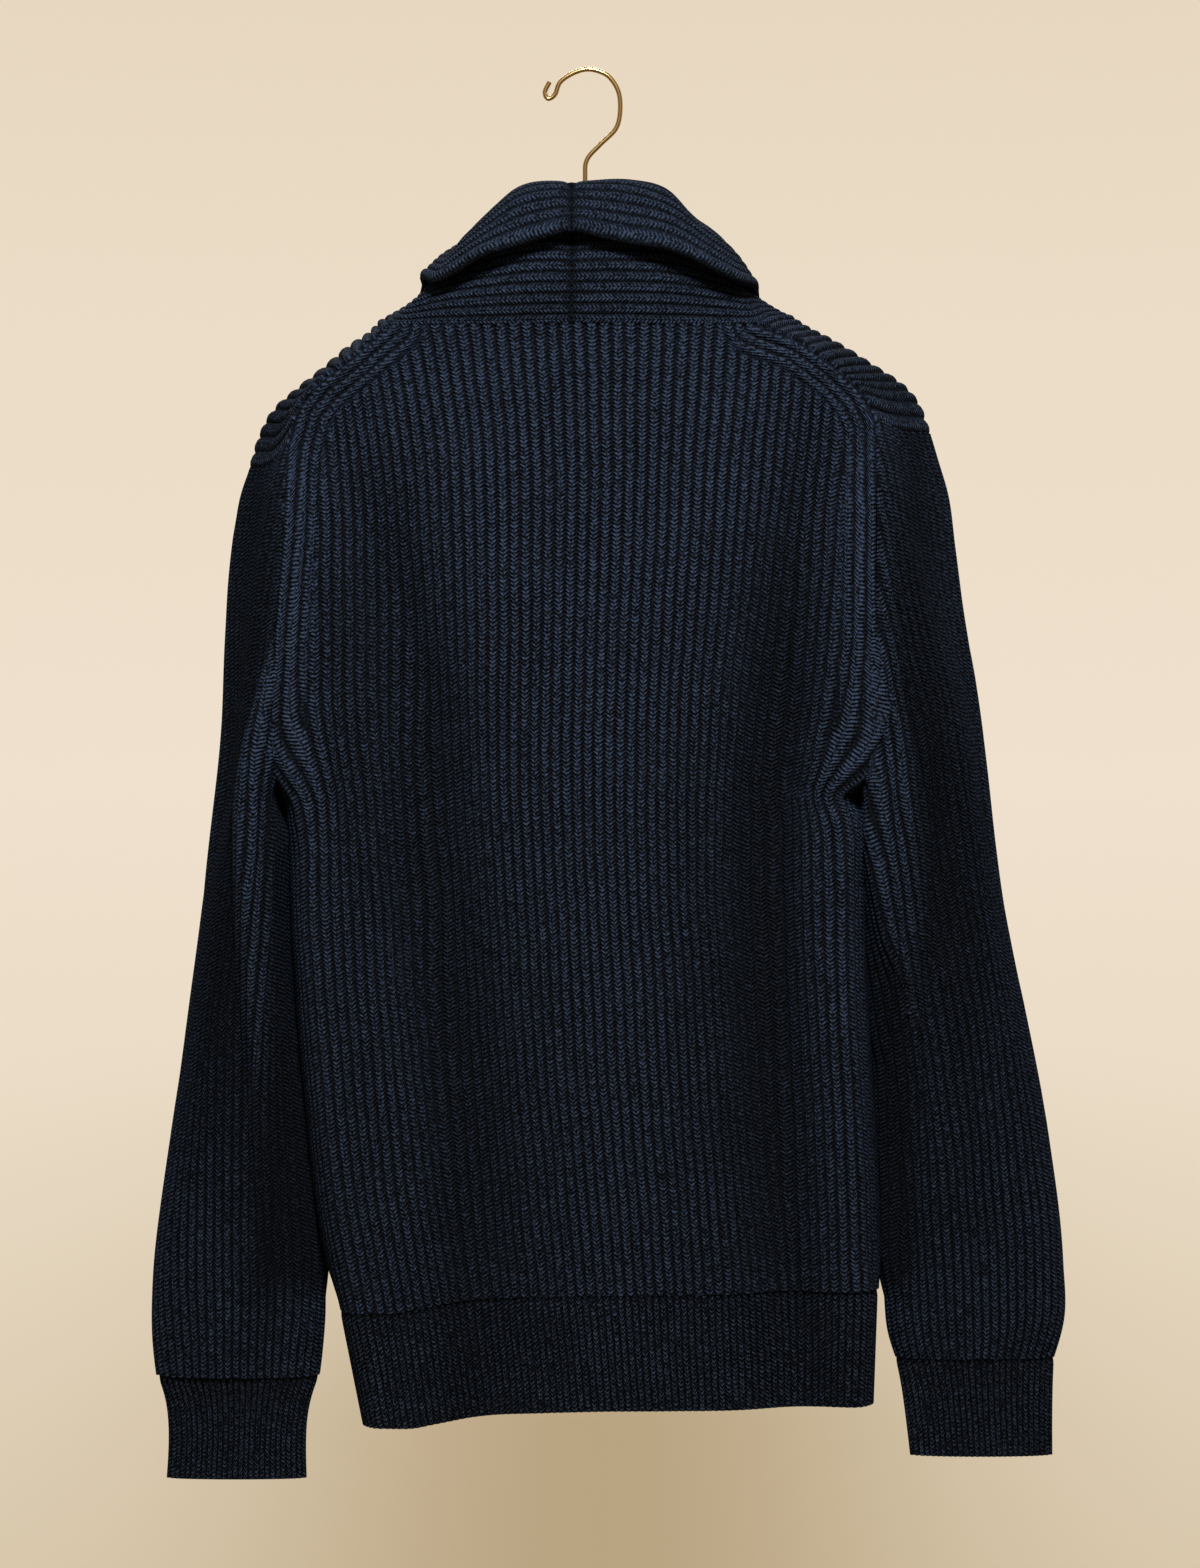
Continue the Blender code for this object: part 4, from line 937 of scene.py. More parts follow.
class Corners:
    """The corners of a mesh's faces on a fine grid: rows, columns, and outside or in."""

    def __init__(self):
        self.rows, self.columns, self.inside, self.sizes = [], [], [], []

    def add(self, rows, columns, inside):
        """Adds faces with as many corners each; inside is True or False, or one for each."""
        rows = np.atleast_2d(rows)
        self.rows.append(rows.ravel())
        self.columns.append(np.ravel(columns))
        self.inside.append(np.broadcast_to(inside, rows.shape).ravel())
        self.sizes += [rows.shape[1]] * len(rows)

    def flat(self, turned):
        """All rows, columns and sides, each face's corners in turned order if asked."""
        whole = [np.concatenate(part) for part in (self.rows, self.columns, self.inside)]
        if turned:
            starts = np.cumsum(self.sizes) - self.sizes
            order = [np.arange(size)[::-1] + start for start, size in zip(starts, self.sizes)]
            whole = [part[np.concatenate(order)] for part in whole]
        return whole


def block_rows(cloth):
    """Rows of the inside's larger squares, with every coarse row among them."""
    rows = []
    for start, end in zip(cloth.row_starts[:-1], cloth.row_starts[1:]):
        pieces = max(1, round((end - start) / BLOCK_ROWS))
        rows += [round(start + (end - start) * n / pieces) for n in range(pieces)]
    return np.array(rows + [cloth.row_starts[-1]], int)


def rims(blocks, tube):
    """Each open side of the inside's blocks, as a line of the outside's points."""
    around = 1 + max(b for a, b in blocks)
    lines = []
    for (a, b), (top, bottom, left, right) in blocks.items():
        before, after = ((b - 1) % around, (b + 1) % around) if tube else (b - 1, b + 1)
        beside = {
            (a - 1, b): [(top, k) for k in range(left, right + 1)],
            (a + 1, b): [(bottom, k) for k in range(right, left - 1, -1)],
            (a, before): [(i, left) for i in range(bottom, top - 1, -1)],
            (a, after): [(i, right) for i in range(top, bottom + 1)],
        }
        lines += [line for other, line in beside.items() if other not in blocks]
    return lines


def cloth_faces(cloth, row_at, column_at):
    """The corners of a piece's faces: fine outside, the inside in larger squares, and rims."""
    tube = cloth.panel.tube
    rights = np.append(column_at[1:], len(cloth.u)) if tube else column_at[1:]
    blocks = {
        (a, b): (row_at[a], row_at[a + 1], column_at[b], right)
        for a in range(len(row_at) - 1)
        for b, right in enumerate(rights)
        if cloth.cells[row_at[a], column_at[b]]
    }
    corners = Corners()
    i, k = np.nonzero(cloth.cells)
    corners.add(np.stack([i, i + 1, i + 1, i], 1), np.stack([k, k, k + 1, k + 1], 1), False)
    top, bottom, left, right = np.array(list(blocks.values())).T
    corners.add(np.stack([top, top, bottom, bottom], 1), np.stack([left, right, right, left], 1), True)
    for line in rims(blocks, tube):
        i, k = np.transpose(line + [line[-1], line[0]])
        corners.add(i, k, [False] * len(line) + [True] * 2)
    return corners


def make_cloth(cloth, wall, height, pattern, both, material):
    """The closed mesh of a piece; its ribs stand on the outside or on both faces."""
    ribs, stitches = cloth.coordinates(from_top=both)
    ribs, lift = pattern(cloth, ribs)
    ribs = wander(cloth, ribs)
    relief = (height * lift * rib_profile(ribs))[..., None]
    outside = cloth.base + cloth.normals * (wall + relief)
    inside = cloth.base - cloth.normals * relief if both else cloth.base
    rows, columns = cloth.base.shape[:2]
    row_at = np.arange(rows) if both else block_rows(cloth)
    column_at = np.arange(0, columns, 1 if both else len(RIB_PHASES))
    corners = cloth_faces(cloth, row_at, column_at)
    row, column, under = corners.flat(turned=cloth.panel.facing > 0)
    turn, column = column // columns, column % columns
    used, numbers = np.unique((under * rows + row) * columns + column, return_inverse=True)
    points = np.concatenate([outside, inside]).reshape(-1, 3)[used] * MM
    faces = np.split(numbers, np.cumsum(corners.sizes)[:-1])
    name = cloth.panel.name + "_knit"
    mesh = bpy.data.meshes.new(name)
    mesh.from_pydata(points.tolist(), [], [face.tolist() for face in faces])
    # the painted shade goes to the material in a UV map of its own
    painted_shade = cloth.painted_shade[row, column]
    knit = (ribs[row, column] + turn * cloth.ribs, stitches[row, column])
    for layer_name, pair in (("Knit", knit), ("Shade", (painted_shade, painted_shade))):
        layer = mesh.uv_layers.new(name=layer_name)
        layer.data.foreach_set("uv", np.stack(pair, 1).astype(np.float32).ravel())
    mesh.shade_smooth()
    mesh.set_sharp_from_angle(angle=SHARP_ANGLE)
    mesh.materials.append(material)
    return link_object(name, mesh)


def link_object(name, data):
    """A new object in the scene."""
    obj = bpy.data.objects.new(name, data)
    bpy.context.scene.collection.objects.link(obj)
    return obj


# ------------------------------------------------------------------ materials

MIDDLE_TONE = 0.35  # where the middle colour lies between dark and light
GRAIN = 1.5  # the part of the flecks that is added after the painted shade, so it is as strong in the folds
STITCH_SLANT = 0.85  # how much higher a stitch's leg ends in the groove, in stitches
STITCH_FULLNESS = 0.7  # below 1 the stitches are fuller and the gaps between them narrower
LEG_SWELL = (0.8, 0.12)  # the part of a bulge that a leg shows from back to groove, and its start
FLECK_SCALE, FLECK_DETAIL = 620.0, 4.0
PATCH_SCALE, PATCH_DETAIL = 26.0, 2.0
KNIT_TONE = (1.05, 0.06)  # how much of the tone is the stitches', whose gaps are painted darker as shade, and what is there without
FLECK_TONE = 2.4
PATCH_TONE = 0.3
FLECK_RELIEF = 0.35  # against the stitches' relief
SHEEN_COLOUR = (0.3, 0.45, 0.8, 1.0)
# the wool's darkest colour, which its deepest painted shade in grooves and folds reaches
DARK = (0.0034, 0.0035, 0.0041, 1.0)

# Of each slot's wool: its name, its middle and light colours, the stitches' depth in metres, and
# how wide the painted shade of a groove is, in ribs.
WOOLS = {
    "wool": (
        "wool_body", (0.0096, 0.0125, 0.0190, 1.0), (0.0305, 0.0445, 0.0750, 1.0), 0.0015, 0.38
    ),
    "wool_band": (
        "wool_band", (0.0105, 0.0128, 0.0180, 1.0), (0.0430, 0.0590, 0.0950, 1.0), 0.0024, 0.46
    ),
}


class Shading:
    """The nodes of a material or world, and short ways to add to them."""

    def __init__(self, owner):
        owner.use_nodes = True
        self.nodes, self.links = owner.node_tree.nodes, owner.node_tree.links

    def add(self, kind, values=(), **settings):
        """A new node with its attributes, and some of its inputs linked or set."""
        node = self.nodes.new("ShaderNode" + kind)
        for name, setting in settings.items():
            setattr(node, name, setting)
        self.feed(node, values)
        return node

    def feed(self, node, values):
        """Links a node's inputs to outputs or sets them to numbers, by name or in order."""
        named = values.items() if isinstance(values, dict) else enumerate(values)
        for name, value in named:
            if isinstance(value, bpy.types.NodeSocket):
                self.links.new(value, node.inputs[name])
            else:
                node.inputs[name].default_value = value

    def calc(self, operation, *values):
        """A Math node on outputs or numbers; its output."""
        return self.add("Math", values, operation=operation).outputs[0]

    def map(self, name):
        """The two coordinates of a UV map."""
        uv = self.add("UVMap", uv_map=name)
        split = self.add("SeparateXYZ", [uv.outputs["UV"]])
        return split.outputs["X"], split.outputs["Y"]

    def noise(self, where, scale, detail):
        """Noise about 0."""
        values = {"Scale": scale, "Detail": detail, "Vector": where}
        return self.add("TexNoise", values).outputs[0]

    def limited(self, value, low, high):
        """A value kept between two limits."""
        return self.calc("MAXIMUM", self.calc("MINIMUM", value, high), low)


def wool(name, middle, light, stitch_depth, groove_width):
    """Matt lambswool: two legs of stitches on each rib, melange flecks and a soft nap, with shade painted
    into its colour in the grooves, between the stitches and along folds and seams.
    """
    made = bpy.data.materials.new(name)
    shading = Shading(made)
    calc = shading.calc
    rib, stitch = shading.map("Knit")
    # 0 on the rib's back, 0.5 in the groove
    across = calc("ABSOLUTE", calc("SUBTRACT", calc("FRACT", rib), 0.5))
    leg = calc("MULTIPLY", across, 2.0)
    number = shading.add("TexWhiteNoise", {"W": calc("FLOOR", rib)}, noise_dimensions="1D")
    place = calc("ADD", calc("ADD", stitch, number.outputs["Value"]), calc("MULTIPLY", leg, STITCH_SLANT))
    wave = calc("COSINE", calc("MULTIPLY", place, 2 * math.pi))
    row = calc("POWER", calc("MULTIPLY_ADD", wave, 0.5, 0.5), STITCH_FULLNESS)
    plump = calc("SINE", calc("MULTIPLY", calc("MULTIPLY_ADD", leg, *LEG_SWELL), math.pi))
    knit = calc("MULTIPLY", row, plump)
    where = shading.add("TexCoord").outputs["Object"]
    fleck = shading.noise(where, FLECK_SCALE, FLECK_DETAIL)
    patch = shading.noise(where, PATCH_SCALE, PATCH_DETAIL)
    # the groove's painted shade: 0 in it, 1 from its width on
    groove = calc("MINIMUM", calc("MULTIPLY", calc("SUBTRACT", 0.5, across), 1 / groove_width), 1.0)
    # the gaps between the stitches are painted darker, as shade
    tone = calc("MULTIPLY_ADD", knit, *KNIT_TONE)
    tone = calc("ADD", tone, calc("MULTIPLY", calc("SUBTRACT", fleck, 0.5), FLECK_TONE))
    tone = calc("ADD", tone, calc("MULTIPLY", calc("SUBTRACT", patch, 0.5), PATCH_TONE))
    tone = calc("MULTIPLY", tone, groove)
    # shade painted along folds and seams darkens the colour; below 0 it paints a highlight
    painted_shade = shading.map("Shade")[0]
    tone = calc("MULTIPLY", tone, calc("SUBTRACT", 1.0, painted_shade))
    tone = calc("ADD", tone, calc("MULTIPLY", calc("SUBTRACT", fleck, 0.5), GRAIN))
    ramp = shading.add("ValToRGB", [tone])
    ramp.color_ramp.elements[0].color = DARK
    ramp.color_ramp.elements[1].color = light
    ramp.color_ramp.elements.new(MIDDLE_TONE).color = middle
    height = calc("ADD", knit, calc("MULTIPLY", fleck, FLECK_RELIEF))
    bump = shading.add("Bump", {"Strength": 1.0, "Distance": stitch_depth, "Height": height})
    looks = {
        "Base Color": ramp.outputs[0],
        "Normal": bump.outputs[0],
        "Roughness": 1.0,
        "Specular IOR Level": 0.02,
        "Sheen Weight": 0.02,
        "Sheen Roughness": 0.5,
        "Sheen Tint": SHEEN_COLOUR,
    }
    shading.feed(shading.nodes["Principled BSDF"], looks)
    return made


def plain(name, colour, roughness, metallic=0.0):
    """A material of one colour."""
    made = bpy.data.materials.new(name)
    shading = Shading(made)
    looks = {"Base Color": colour, "Roughness": roughness, "Metallic": metallic}
    shading.feed(shading.nodes["Principled BSDF"], looks)
    return made


# ------------------------------------------------- what is pressed into cloth, and its painted shade

FOLD_POWER = 1.35  # how a fold fades to its sides: 1 like a tent, 2 like a bell
FOLD_SIDE = 14.0  # over this depth a tube's fold passes from the one face to the other
WAVES = 0.5  # the unevenness of hand knitting

# The seam between the collar's halves, in millimetres.
SEAM_HALF_WIDTH = 3.0
SEAM_DEPTH = 2.6
# the shade painted into the seam's groove
SEAM_SHADE = 0.95
STAND_TOP = -80.0  # below this height the stand is told from the leaf by its depth
STAND_BLEND = 6.0
LEAF_HEIGHTS = (-112.0, -109.0, -96.0, -84.0)
LEAF_DEPTHS = (-99.0, -51.0, -46.0, -40.0)  # what lies nearer than these is the stand

# The line that a band's seam draws in, with shade painted along it.
BAND_SEAM = 3.0  # how far below its top edge it reaches
BAND_SEAM_RISE = -0.9
BAND_SEAM_SHADE = 0.8

# Where a sleeve lies against the body's side: from x to x, in depth, and how thickly.
TOUCH_FROM, TOUCH_TO = 140.0, 215.0
TOUCH_BLEND = 12.0
TOUCH_DEPTH = 34.0
# the shade painted where sleeve and body meet
TOUCH_SHADE = 0.75
TOUCH_FULL = 2.6  # the rise from which on its shade is full
TOUCH_HEIGHTS = (-790.0, -765.0, -610.0, -540.0, -480.0, -452.0, -444.0)
TOUCH_RISES = (0.0, 4.6, 4.6, 2.8, 3.6, 4.0, 1.5)


def folds(lines, face=0.0):
    """A field of soft troughs and ridges down the cloth, and the shade painted into the colour along them.

    A line's rows are x, z, rise, width towards -X, width towards +X, and painted shade, which below 0 is a
    painted highlight.
    Face -1 keeps to the back of a tube and 1 to its front.
    """

    def field(points):
        x, y, z = axes(points)
        rise, light = np.zeros(x.shape), np.ones(x.shape)
        side = np.clip(0.5 + face * y / FOLD_SIDE, 0, 1) if face else 1.0
        for line in lines:
            at, heights, size, minus, plus, dark = np.array(line, float)[::-1].T
            away = x - np.interp(z, heights, at)
            width = np.where(away < 0, np.interp(z, heights, minus), np.interp(z, heights, plus))
            near = np.exp(-((np.abs(away) / width) ** FOLD_POWER)) * side
            rise += np.interp(z, heights, size, 0, 0) * near
            light *= 1 - np.interp(z, heights, dark, 0, 0) * near
        return rise, 1 - light

    return field


def unevenness(points):
    """Slow hand-knit waves over a surface, in millimetres."""
    x, y, z = axes(points)
    wave = 0.8 * np.sin(x / 31.0 + z / 83.0 + 1.0) + 0.7 * np.sin(z / 47.0 - x / 60.0 + 2.3)
    wave += 0.35 * np.sin(x / 13.0 + z / 29.0 + y / 21.0) + 0.25 * np.sin(z / 17.0 + x / 37.0)
    return WAVES * wave, np.zeros_like(wave)


def collar_seam(points):
    """The collar's unevenness, and the groove where its halves are sewn together, with shade painted into
    it.
    """
    x, y, z = axes(points)
    near = np.exp(-(np.abs(x - CENTRE_BACK) / SEAM_HALF_WIDTH) ** 1.5) * (y < 0)
    # the leaf shows the collar's other face, so its groove is pressed the other way
    stand = ramp_up(-z, -STAND_TOP, STAND_BLEND) * (y > np.interp(z, LEAF_HEIGHTS, LEAF_DEPTHS))
    wave = 0.4 * np.sin(x / 9.0 + z / 17.0) + 0.5 * np.sin(x / 21.0 - y / 9.0)
    wave += 0.3 * np.sin(z / 7.0 + x / 31.0)
    return wave + SEAM_DEPTH * near * (1 - 2 * stand), SEAM_SHADE * near


def band_seam(points):
    """The drawn-in line along the top of a band of finer rib, with shade painted along it."""
    _, _, heights = axes(points)
    near = bell(heights[:1] - heights, BAND_SEAM)
    return BAND_SEAM_RISE * near, BAND_SEAM_SHADE * near


def touch(points):
    """Fills the slits where a sleeve lies against the body's side, and paints shade along them."""
    x, y, z = axes(points)
    aside = np.abs(x)
    beside = ramp_up(aside, TOUCH_FROM, TOUCH_BLEND) * ramp_up(-aside, -TOUCH_TO, TOUCH_BLEND)
    rise = np.interp(z, TOUCH_HEIGHTS, TOUCH_RISES) * beside * np.exp(-((y / TOUCH_DEPTH) ** 4))
    return rise, TOUCH_SHADE * np.minimum(rise / TOUCH_FULL, 1.0)


# -------------------------------------------------------------- listed folds

# Each row: x, z, rise, width towards -X, width towards +X, shade. Rise below 0 is a trough. The shade is
# painted into the wool's colour; below 0 it is a painted highlight.
BACK_FOLDS = (
    (  # the long valley left of the middle
        (-138, -215, 0, 20, 30, 0), (-137, -277, -3, 22, 36, 0.25), (-118, -341, -6, 32, 40, 0.35),
        (-98, -419, -9, 32, 46, 0.42), (-107, -502, -11, 24, 55, 0.5), (-94, -599, -12, 24, 55, 0.6),
        (-81, -696, -11, 26, 45, 0.6), (-78, -770, -9, 26, 40, 0.55), (-76, -840, -6, 24, 36, 0.4),
        (-74, -900, -4, 24, 30, 0.3),
    ),
    (  # the long valley right of the middle
        (146, -215, 0, 20, 16, 0), (138, -277, -5, 26, 16, 0.3), (130, -341, -8, 38, 16, 0.45),
        (129, -419, -11, 46, 13, 0.55), (120, -502, -13, 50, 12, 0.65), (121, -599, -13, 50, 14, 0.72),
        (124, -696, -12, 45, 18, 0.65), (132, -770, -9, 40, 22, 0.5), (150, -840, -5, 36, 20, 0.35),
        (158, -900, -3, 36, 20, 0.2),
    ),
    (  # the ridge inside the right armhole
        (176, -235, 0, 10, 12, 0), (175, -290, 5, 11, 12, -0.5), (176, -370, 7, 11, 14, -0.7),
        (172, -430, 6, 12, 14, -0.6), (168, -520, 0, 12, 14, 0),
    ),
    (  # the ridge inside the left armhole
        (-184, -240, 0, 12, 10, 0), (-184, -300, 5, 12, 11, -0.55), (-186, -380, 7, 14, 12, -0.7),
        (-184, -440, 5, 14, 12, -0.5), (-176, -520, 0, 14, 12, 0),
    ),
    (  # the shadow on the left side, inside the ridge
        (-150, -280, 0, 26, 30, 0), (-150, -340, 0, 26, 34, 0.25), (-140, -500, 0, 34, 34, 0.25),
        (-140, -700, 0, 30, 30, 0.15), (-140, -860, 0, 30, 30, 0),
    ),
    (  # and on the right side
        (136, -280, 0, 26, 24, 0), (134, -340, 0, 26, 24, 0.3), (126, -500, 0, 26, 20, 0.4),
        (124, -700, 0, 26, 20, 0.3), (132, -860, 0, 30, 30, 0),
    ),
    (  # a shallow hollow between the left valley and the side
        (-168, -300, 0, 12, 14, 0), (-160, -400, -4, 12, 16, 0.25), (-158, -480, -4, 10, 16, 0.2),
        (-150, -560, 0, 10, 14, 0),
    ),
    (  # soft columns in the middle
        (-30, -300, 0, 16, 16, 0), (-34, -420, -2, 18, 16, 0.08), (-28, -560, -1, 18, 18, 0.05),
        (-20, -700, -3, 14, 16, 0.12), (-22, -800, -2, 14, 16, 0.1), (-22, -900, 0, 14, 16, 0),
    ),
    (
        (52, -350, 0, 16, 16, 0), (58, -470, -2, 16, 18, 0.1), (66, -600, -3, 18, 16, 0.12),
        (60, -740, -2, 18, 18, 0.1), (62, -900, 0, 16, 18, 0),
    ),
)
SLEEVE_BACK_FOLDS = {
    1: (
        (  # the sharp edge of the bulge below the right pit, the far side falling back
            (194, -240, 0, 5, 34, 0.1), (198, -341, -7, 7, 40, 0.5), (204, -410, -9, 8, 44, 0.6),
            (213, -450, -12, 8, 46, 0.65), (219, -490, -13, 9, 50, 0.65), (222, -548, -13, 10, 50, 0.6),
            (218, -600, -10, 14, 46, 0.45), (212, -680, -7, 18, 50, 0.35), (216, -760, -4, 20, 50, 0.25),
            (228, -830, 0, 20, 50, 0.1),
        ),
        (  # the long slanting crease lower down
            (205, -520, 0, 8, 8, 0), (196, -580, -5, 7, 9, 0.4), (192, -640, -7, 7, 10, 0.5),
            (200, -720, -4, 8, 12, 0.3), (212, -790, 0, 8, 12, 0),
        ),
        (  # the lit bulge below the pit
            (196, -400, 0, 10, 8, -0.1), (200, -455, 5, 12, 8, -0.4), (206, -520, 4, 12, 9, -0.35),
            (204, -600, 0, 12, 10, 0),
        ),
        (  # the outer side, turned out of the light
            (208, -235, 0, 16, 24, 0.6), (212, -300, 0, 16, 22, 0.72), (214, -341, 0, 16, 20, 0.65),
            (223, -419, 0, 18, 18, 0.62), (234, -502, 0, 24, 20, 0.6), (243, -599, 0, 26, 22, 0.5),
            (248, -690, 0, 26, 24, 0.3), (256, -780, 0, 22, 20, 0),
        ),
        (  # the outer side's faint roll
            (244, -330, 0, 14, 8, 0), (262, -480, -3, 16, 8, 0.2), (282, -640, -3, 18, 10, 0.2),
            (290, -780, 0, 18, 10, 0),
        ),
    ),
    -1: (
        (  # the sharp edge of the bulge at the left pit
            (-194, -245, 0, 30, 5, 0.2), (-197, -341, -6, 34, 7, 0.6), (-204, -378, -9, 30, 8, 0.65),
            (-214, -410, -11, 22, 8, 0.65), (-224, -440, -13, 20, 7, 0.72), (-230, -470, -14, 20, 7, 0.75),
            (-229, -510, -14, 22, 7, 0.75), (-227, -550, -13, 26, 8, 0.75), (-223, -600, -12, 30, 10, 0.7),
            (-216, -680, -9, 34, 14, 0.55), (-208, -760, -5, 36, 18, 0.35), (-220, -830, 0, 36, 20, 0.2),
        ),
        (  # the lit bulge at the pit
            (-196, -330, 0, 6, 10, -0.1), (-201, -390, 4, 7, 12, -0.8), (-210, -430, 6, 8, 10, -0.9),
            (-216, -470, 5, 7, 8, -0.8), (-215, -520, 5, 7, 8, -0.7), (-211, -600, 3, 8, 8, -0.4),
            (-204, -690, 0, 8, 8, 0),
        ),
        (  # the shadow between the bulge and the body, below the pit
            (-196, -448, 0, 7, 12, 0), (-197, -472, -2, 8, 12, 0.75), (-197, -520, -3, 9, 12, 0.8),
            (-196, -600, -3, 10, 12, 0.75), (-196, -700, -3, 11, 12, 0.65), (-203, -800, -2, 10, 12, 0.3),
            (-210, -850, 0, 10, 12, 0),
        ),
        (  # the outer side, turned out of the light
            (-208, -240, 0, 24, 14, 0.75), (-209, -300, 0, 24, 12, 0.85), (-214, -360, 0, 22, 10, 0.8),
            (-232, -430, 0, 22, 8, 0.7), (-240, -502, 0, 24, 12, 0.75), (-236, -599, 0, 30, 16, 0.6),
            (-246, -700, 0, 26, 26, 0.15), (-246, -790, 0, 26, 26, 0),
        ),
        (  # a crease nearer the outer edge
            (-218, -300, 0, 8, 10, 0), (-230, -400, -4, 8, 12, 0.3), (-246, -520, -4, 8, 14, 0.3),
            (-258, -640, -3, 10, 14, 0.2), (-262, -760, 0, 10, 14, 0),
        ),
    ),
}
SLEEVE_FRONT_FOLDS = {
    1: (
        (
            (204, -300, 0, 8, 30, 0), (214, -430, -8, 10, 30, 0.4), (226, -540, -10, 12, 34, 0.45),
            (224, -660, -6, 16, 40, 0.3), (236, -800, 0, 18, 40, 0.1),
        ),
    ),
    -1: (
        (
            (-206, -300, 0, 28, 8, 0), (-216, -420, -8, 26, 10, 0.4), (-224, -530, -10, 30, 12, 0.45),
            (-218, -650, -6, 34, 16, 0.3), (-226, -800, 0, 34, 18, 0.1),
        ),
    ),
}
FRONT_FOLDS = {
    1: (
        (
            (120, -260, 0, 20, 22, 0), (116, -400, -5, 24, 20, 0.2), (108, -560, -7, 28, 20, 0.35),
            (112, -700, -6, 26, 22, 0.3), (116, -860, -3, 24, 22, 0.2),
        ),
        (
            (158, -330, 0, 12, 14, 0), (160, -450, -4, 12, 12, 0.2), (154, -600, 0, 12, 12, 0),
        ),
    ),
    -1: (
        (
            (-124, -260, 0, 22, 20, 0), (-114, -380, -5, 20, 26, 0.2), (-104, -540, -7, 20, 30, 0.35),
            (-98, -690, -6, 22, 26, 0.3), (-94, -860, -3, 22, 24, 0.2),
        ),
        (
            (-166, -330, 0, 14, 12, 0), (-162, -470, -4, 12, 12, 0.2), (-150, -620, 0, 12, 12, 0),
        ),
    ),
}


# --------------------------------------------------------- hanger and buttons

# The hook from the rail up round its arc to its tip, and the rail's middle: x and z.
HOOK_ROUTE = (
    (-0.6, -140.8), (-0.6, -100), (-0.6, -70), (0.5, -57), (9, -47), (19, -37), (22, -26),
    (21, -13), (15, -3.2), (7, 0.9), (-1, 1.6), (-10, -1.6), (-17, -7), (-20, -14.5),
    (-24.5, -17.2), (-26.5, -13), (-23.6, -6.5),
)
HANGER_CENTRE = ((-32.0, -149.5), (-0.6, -146.5), (31.0, -149.5))
# The front's columns that the rail's arms follow, and how much lower it lies there.
RAIL_DROP = ((6, 7.0), (7, 3.5), (8, 0.5), (9, 0.0), (10, 0.0), (11, 0.0))
HOOK_STEPS, RAIL_STEPS = 8, 4  # points from each spot of a route to the next

# A button's turned outline from its front's middle to its back's: radius and height,
# as shares of the button's.
BUTTON_OUTLINE = (
    (0.0, 0.55), (0.52, 0.55), (0.62, 0.75), (0.74, 1.0), (0.86, 1.0),
    (0.95, 0.85), (1.0, 0.55), (0.97, 0.15), (0.9, 0.0), (0.0, 0.0),
)
BUTTON_SIDES = 40
BUTTON_SHARP = math.radians(40)
HOLE_REACH = 3.0  # from the button's middle to each of its four thread holes
HOLE_HALF = 0.8
HOLE_RISE = 0.07  # above the button's middle, as a share of its thickness


def smooth_route(spots, steps):
    """Points of a Catmull-Rom curve through the spots."""
    spots = np.array(spots, float)
    padded = np.vstack([2 * spots[0] - spots[1], spots, 2 * spots[-1] - spots[-2]])
    t = (np.arange(steps) / steps)[:, None]
    route = []
    for a, b, c, d in zip(padded, padded[1:], padded[2:], padded[3:]):
        curve = 2 * b + (c - a) * t + (2 * a - 5 * b + 4 * c - d) * t**2
        route += list((curve + (3 * b - a - 3 * c + d) * t**3) / 2)
    return route + [spots[-1]]


def dress(obj, node, slot):
    """Puts an object under the root body in place of its solid, which it hides."""
    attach(obj, "root")
    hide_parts(node)


def wire(name, route, radius, material, slot, node):
    """A round rod along a route in millimetres."""
    curve = bpy.data.curves.new(name, "CURVE")
    curve.dimensions = "3D"
    curve.bevel_depth = radius * MM
    curve.bevel_resolution = 5
    curve.use_fill_caps = True
    spline = curve.splines.new("POLY")
    spline.points.add(len(route) - 1)
    for point, spot in zip(spline.points, route):
        point.co = (*(np.array(spot) * MM), 1.0)
    curve.materials.append(material)
    dress(link_object(name, curve), node, slot)


def rail_arm(sign):
    """The rail's spots below one shoulder's top line, from the neck outwards."""
    spots = []
    for column, drop in RAIL_DROP:
        before, ridge, after = (shoulder_points(sign, column + n)[2] for n in (-1, 0, 1))
        slope = unit(after - before)
        under = np.array([sign * slope[2], 0.0, -abs(slope[0])])
        spots.append(ridge + under * (HANGER_RADIUS + HANGER_CLEARANCE + drop))
    return spots


def build_hanger():
    """The brass hook and the rail inside the shoulders."""
    brass = plain("brass_wire", (0.62, 0.41, 0.17, 1.0), 0.22, 1.0)
    hook = smooth_route([(x, 0.0, z) for x, z in HOOK_ROUTE], HOOK_STEPS)
    wire("hook_wire", hook, WIRE_RADIUS, brass, "brass", "hanger_hook")
    wood = plain("rail_wood", (0.25, 0.15, 0.08, 1.0), 0.45)
    centre = [(x, 0.0, z) for x, z in HANGER_CENTRE]
    rail = smooth_route(rail_arm(-1)[::-1] + centre + rail_arm(1), RAIL_STEPS)
    wire("rail", rail, HANGER_RADIUS, wood, "rail", "hanger_rail")


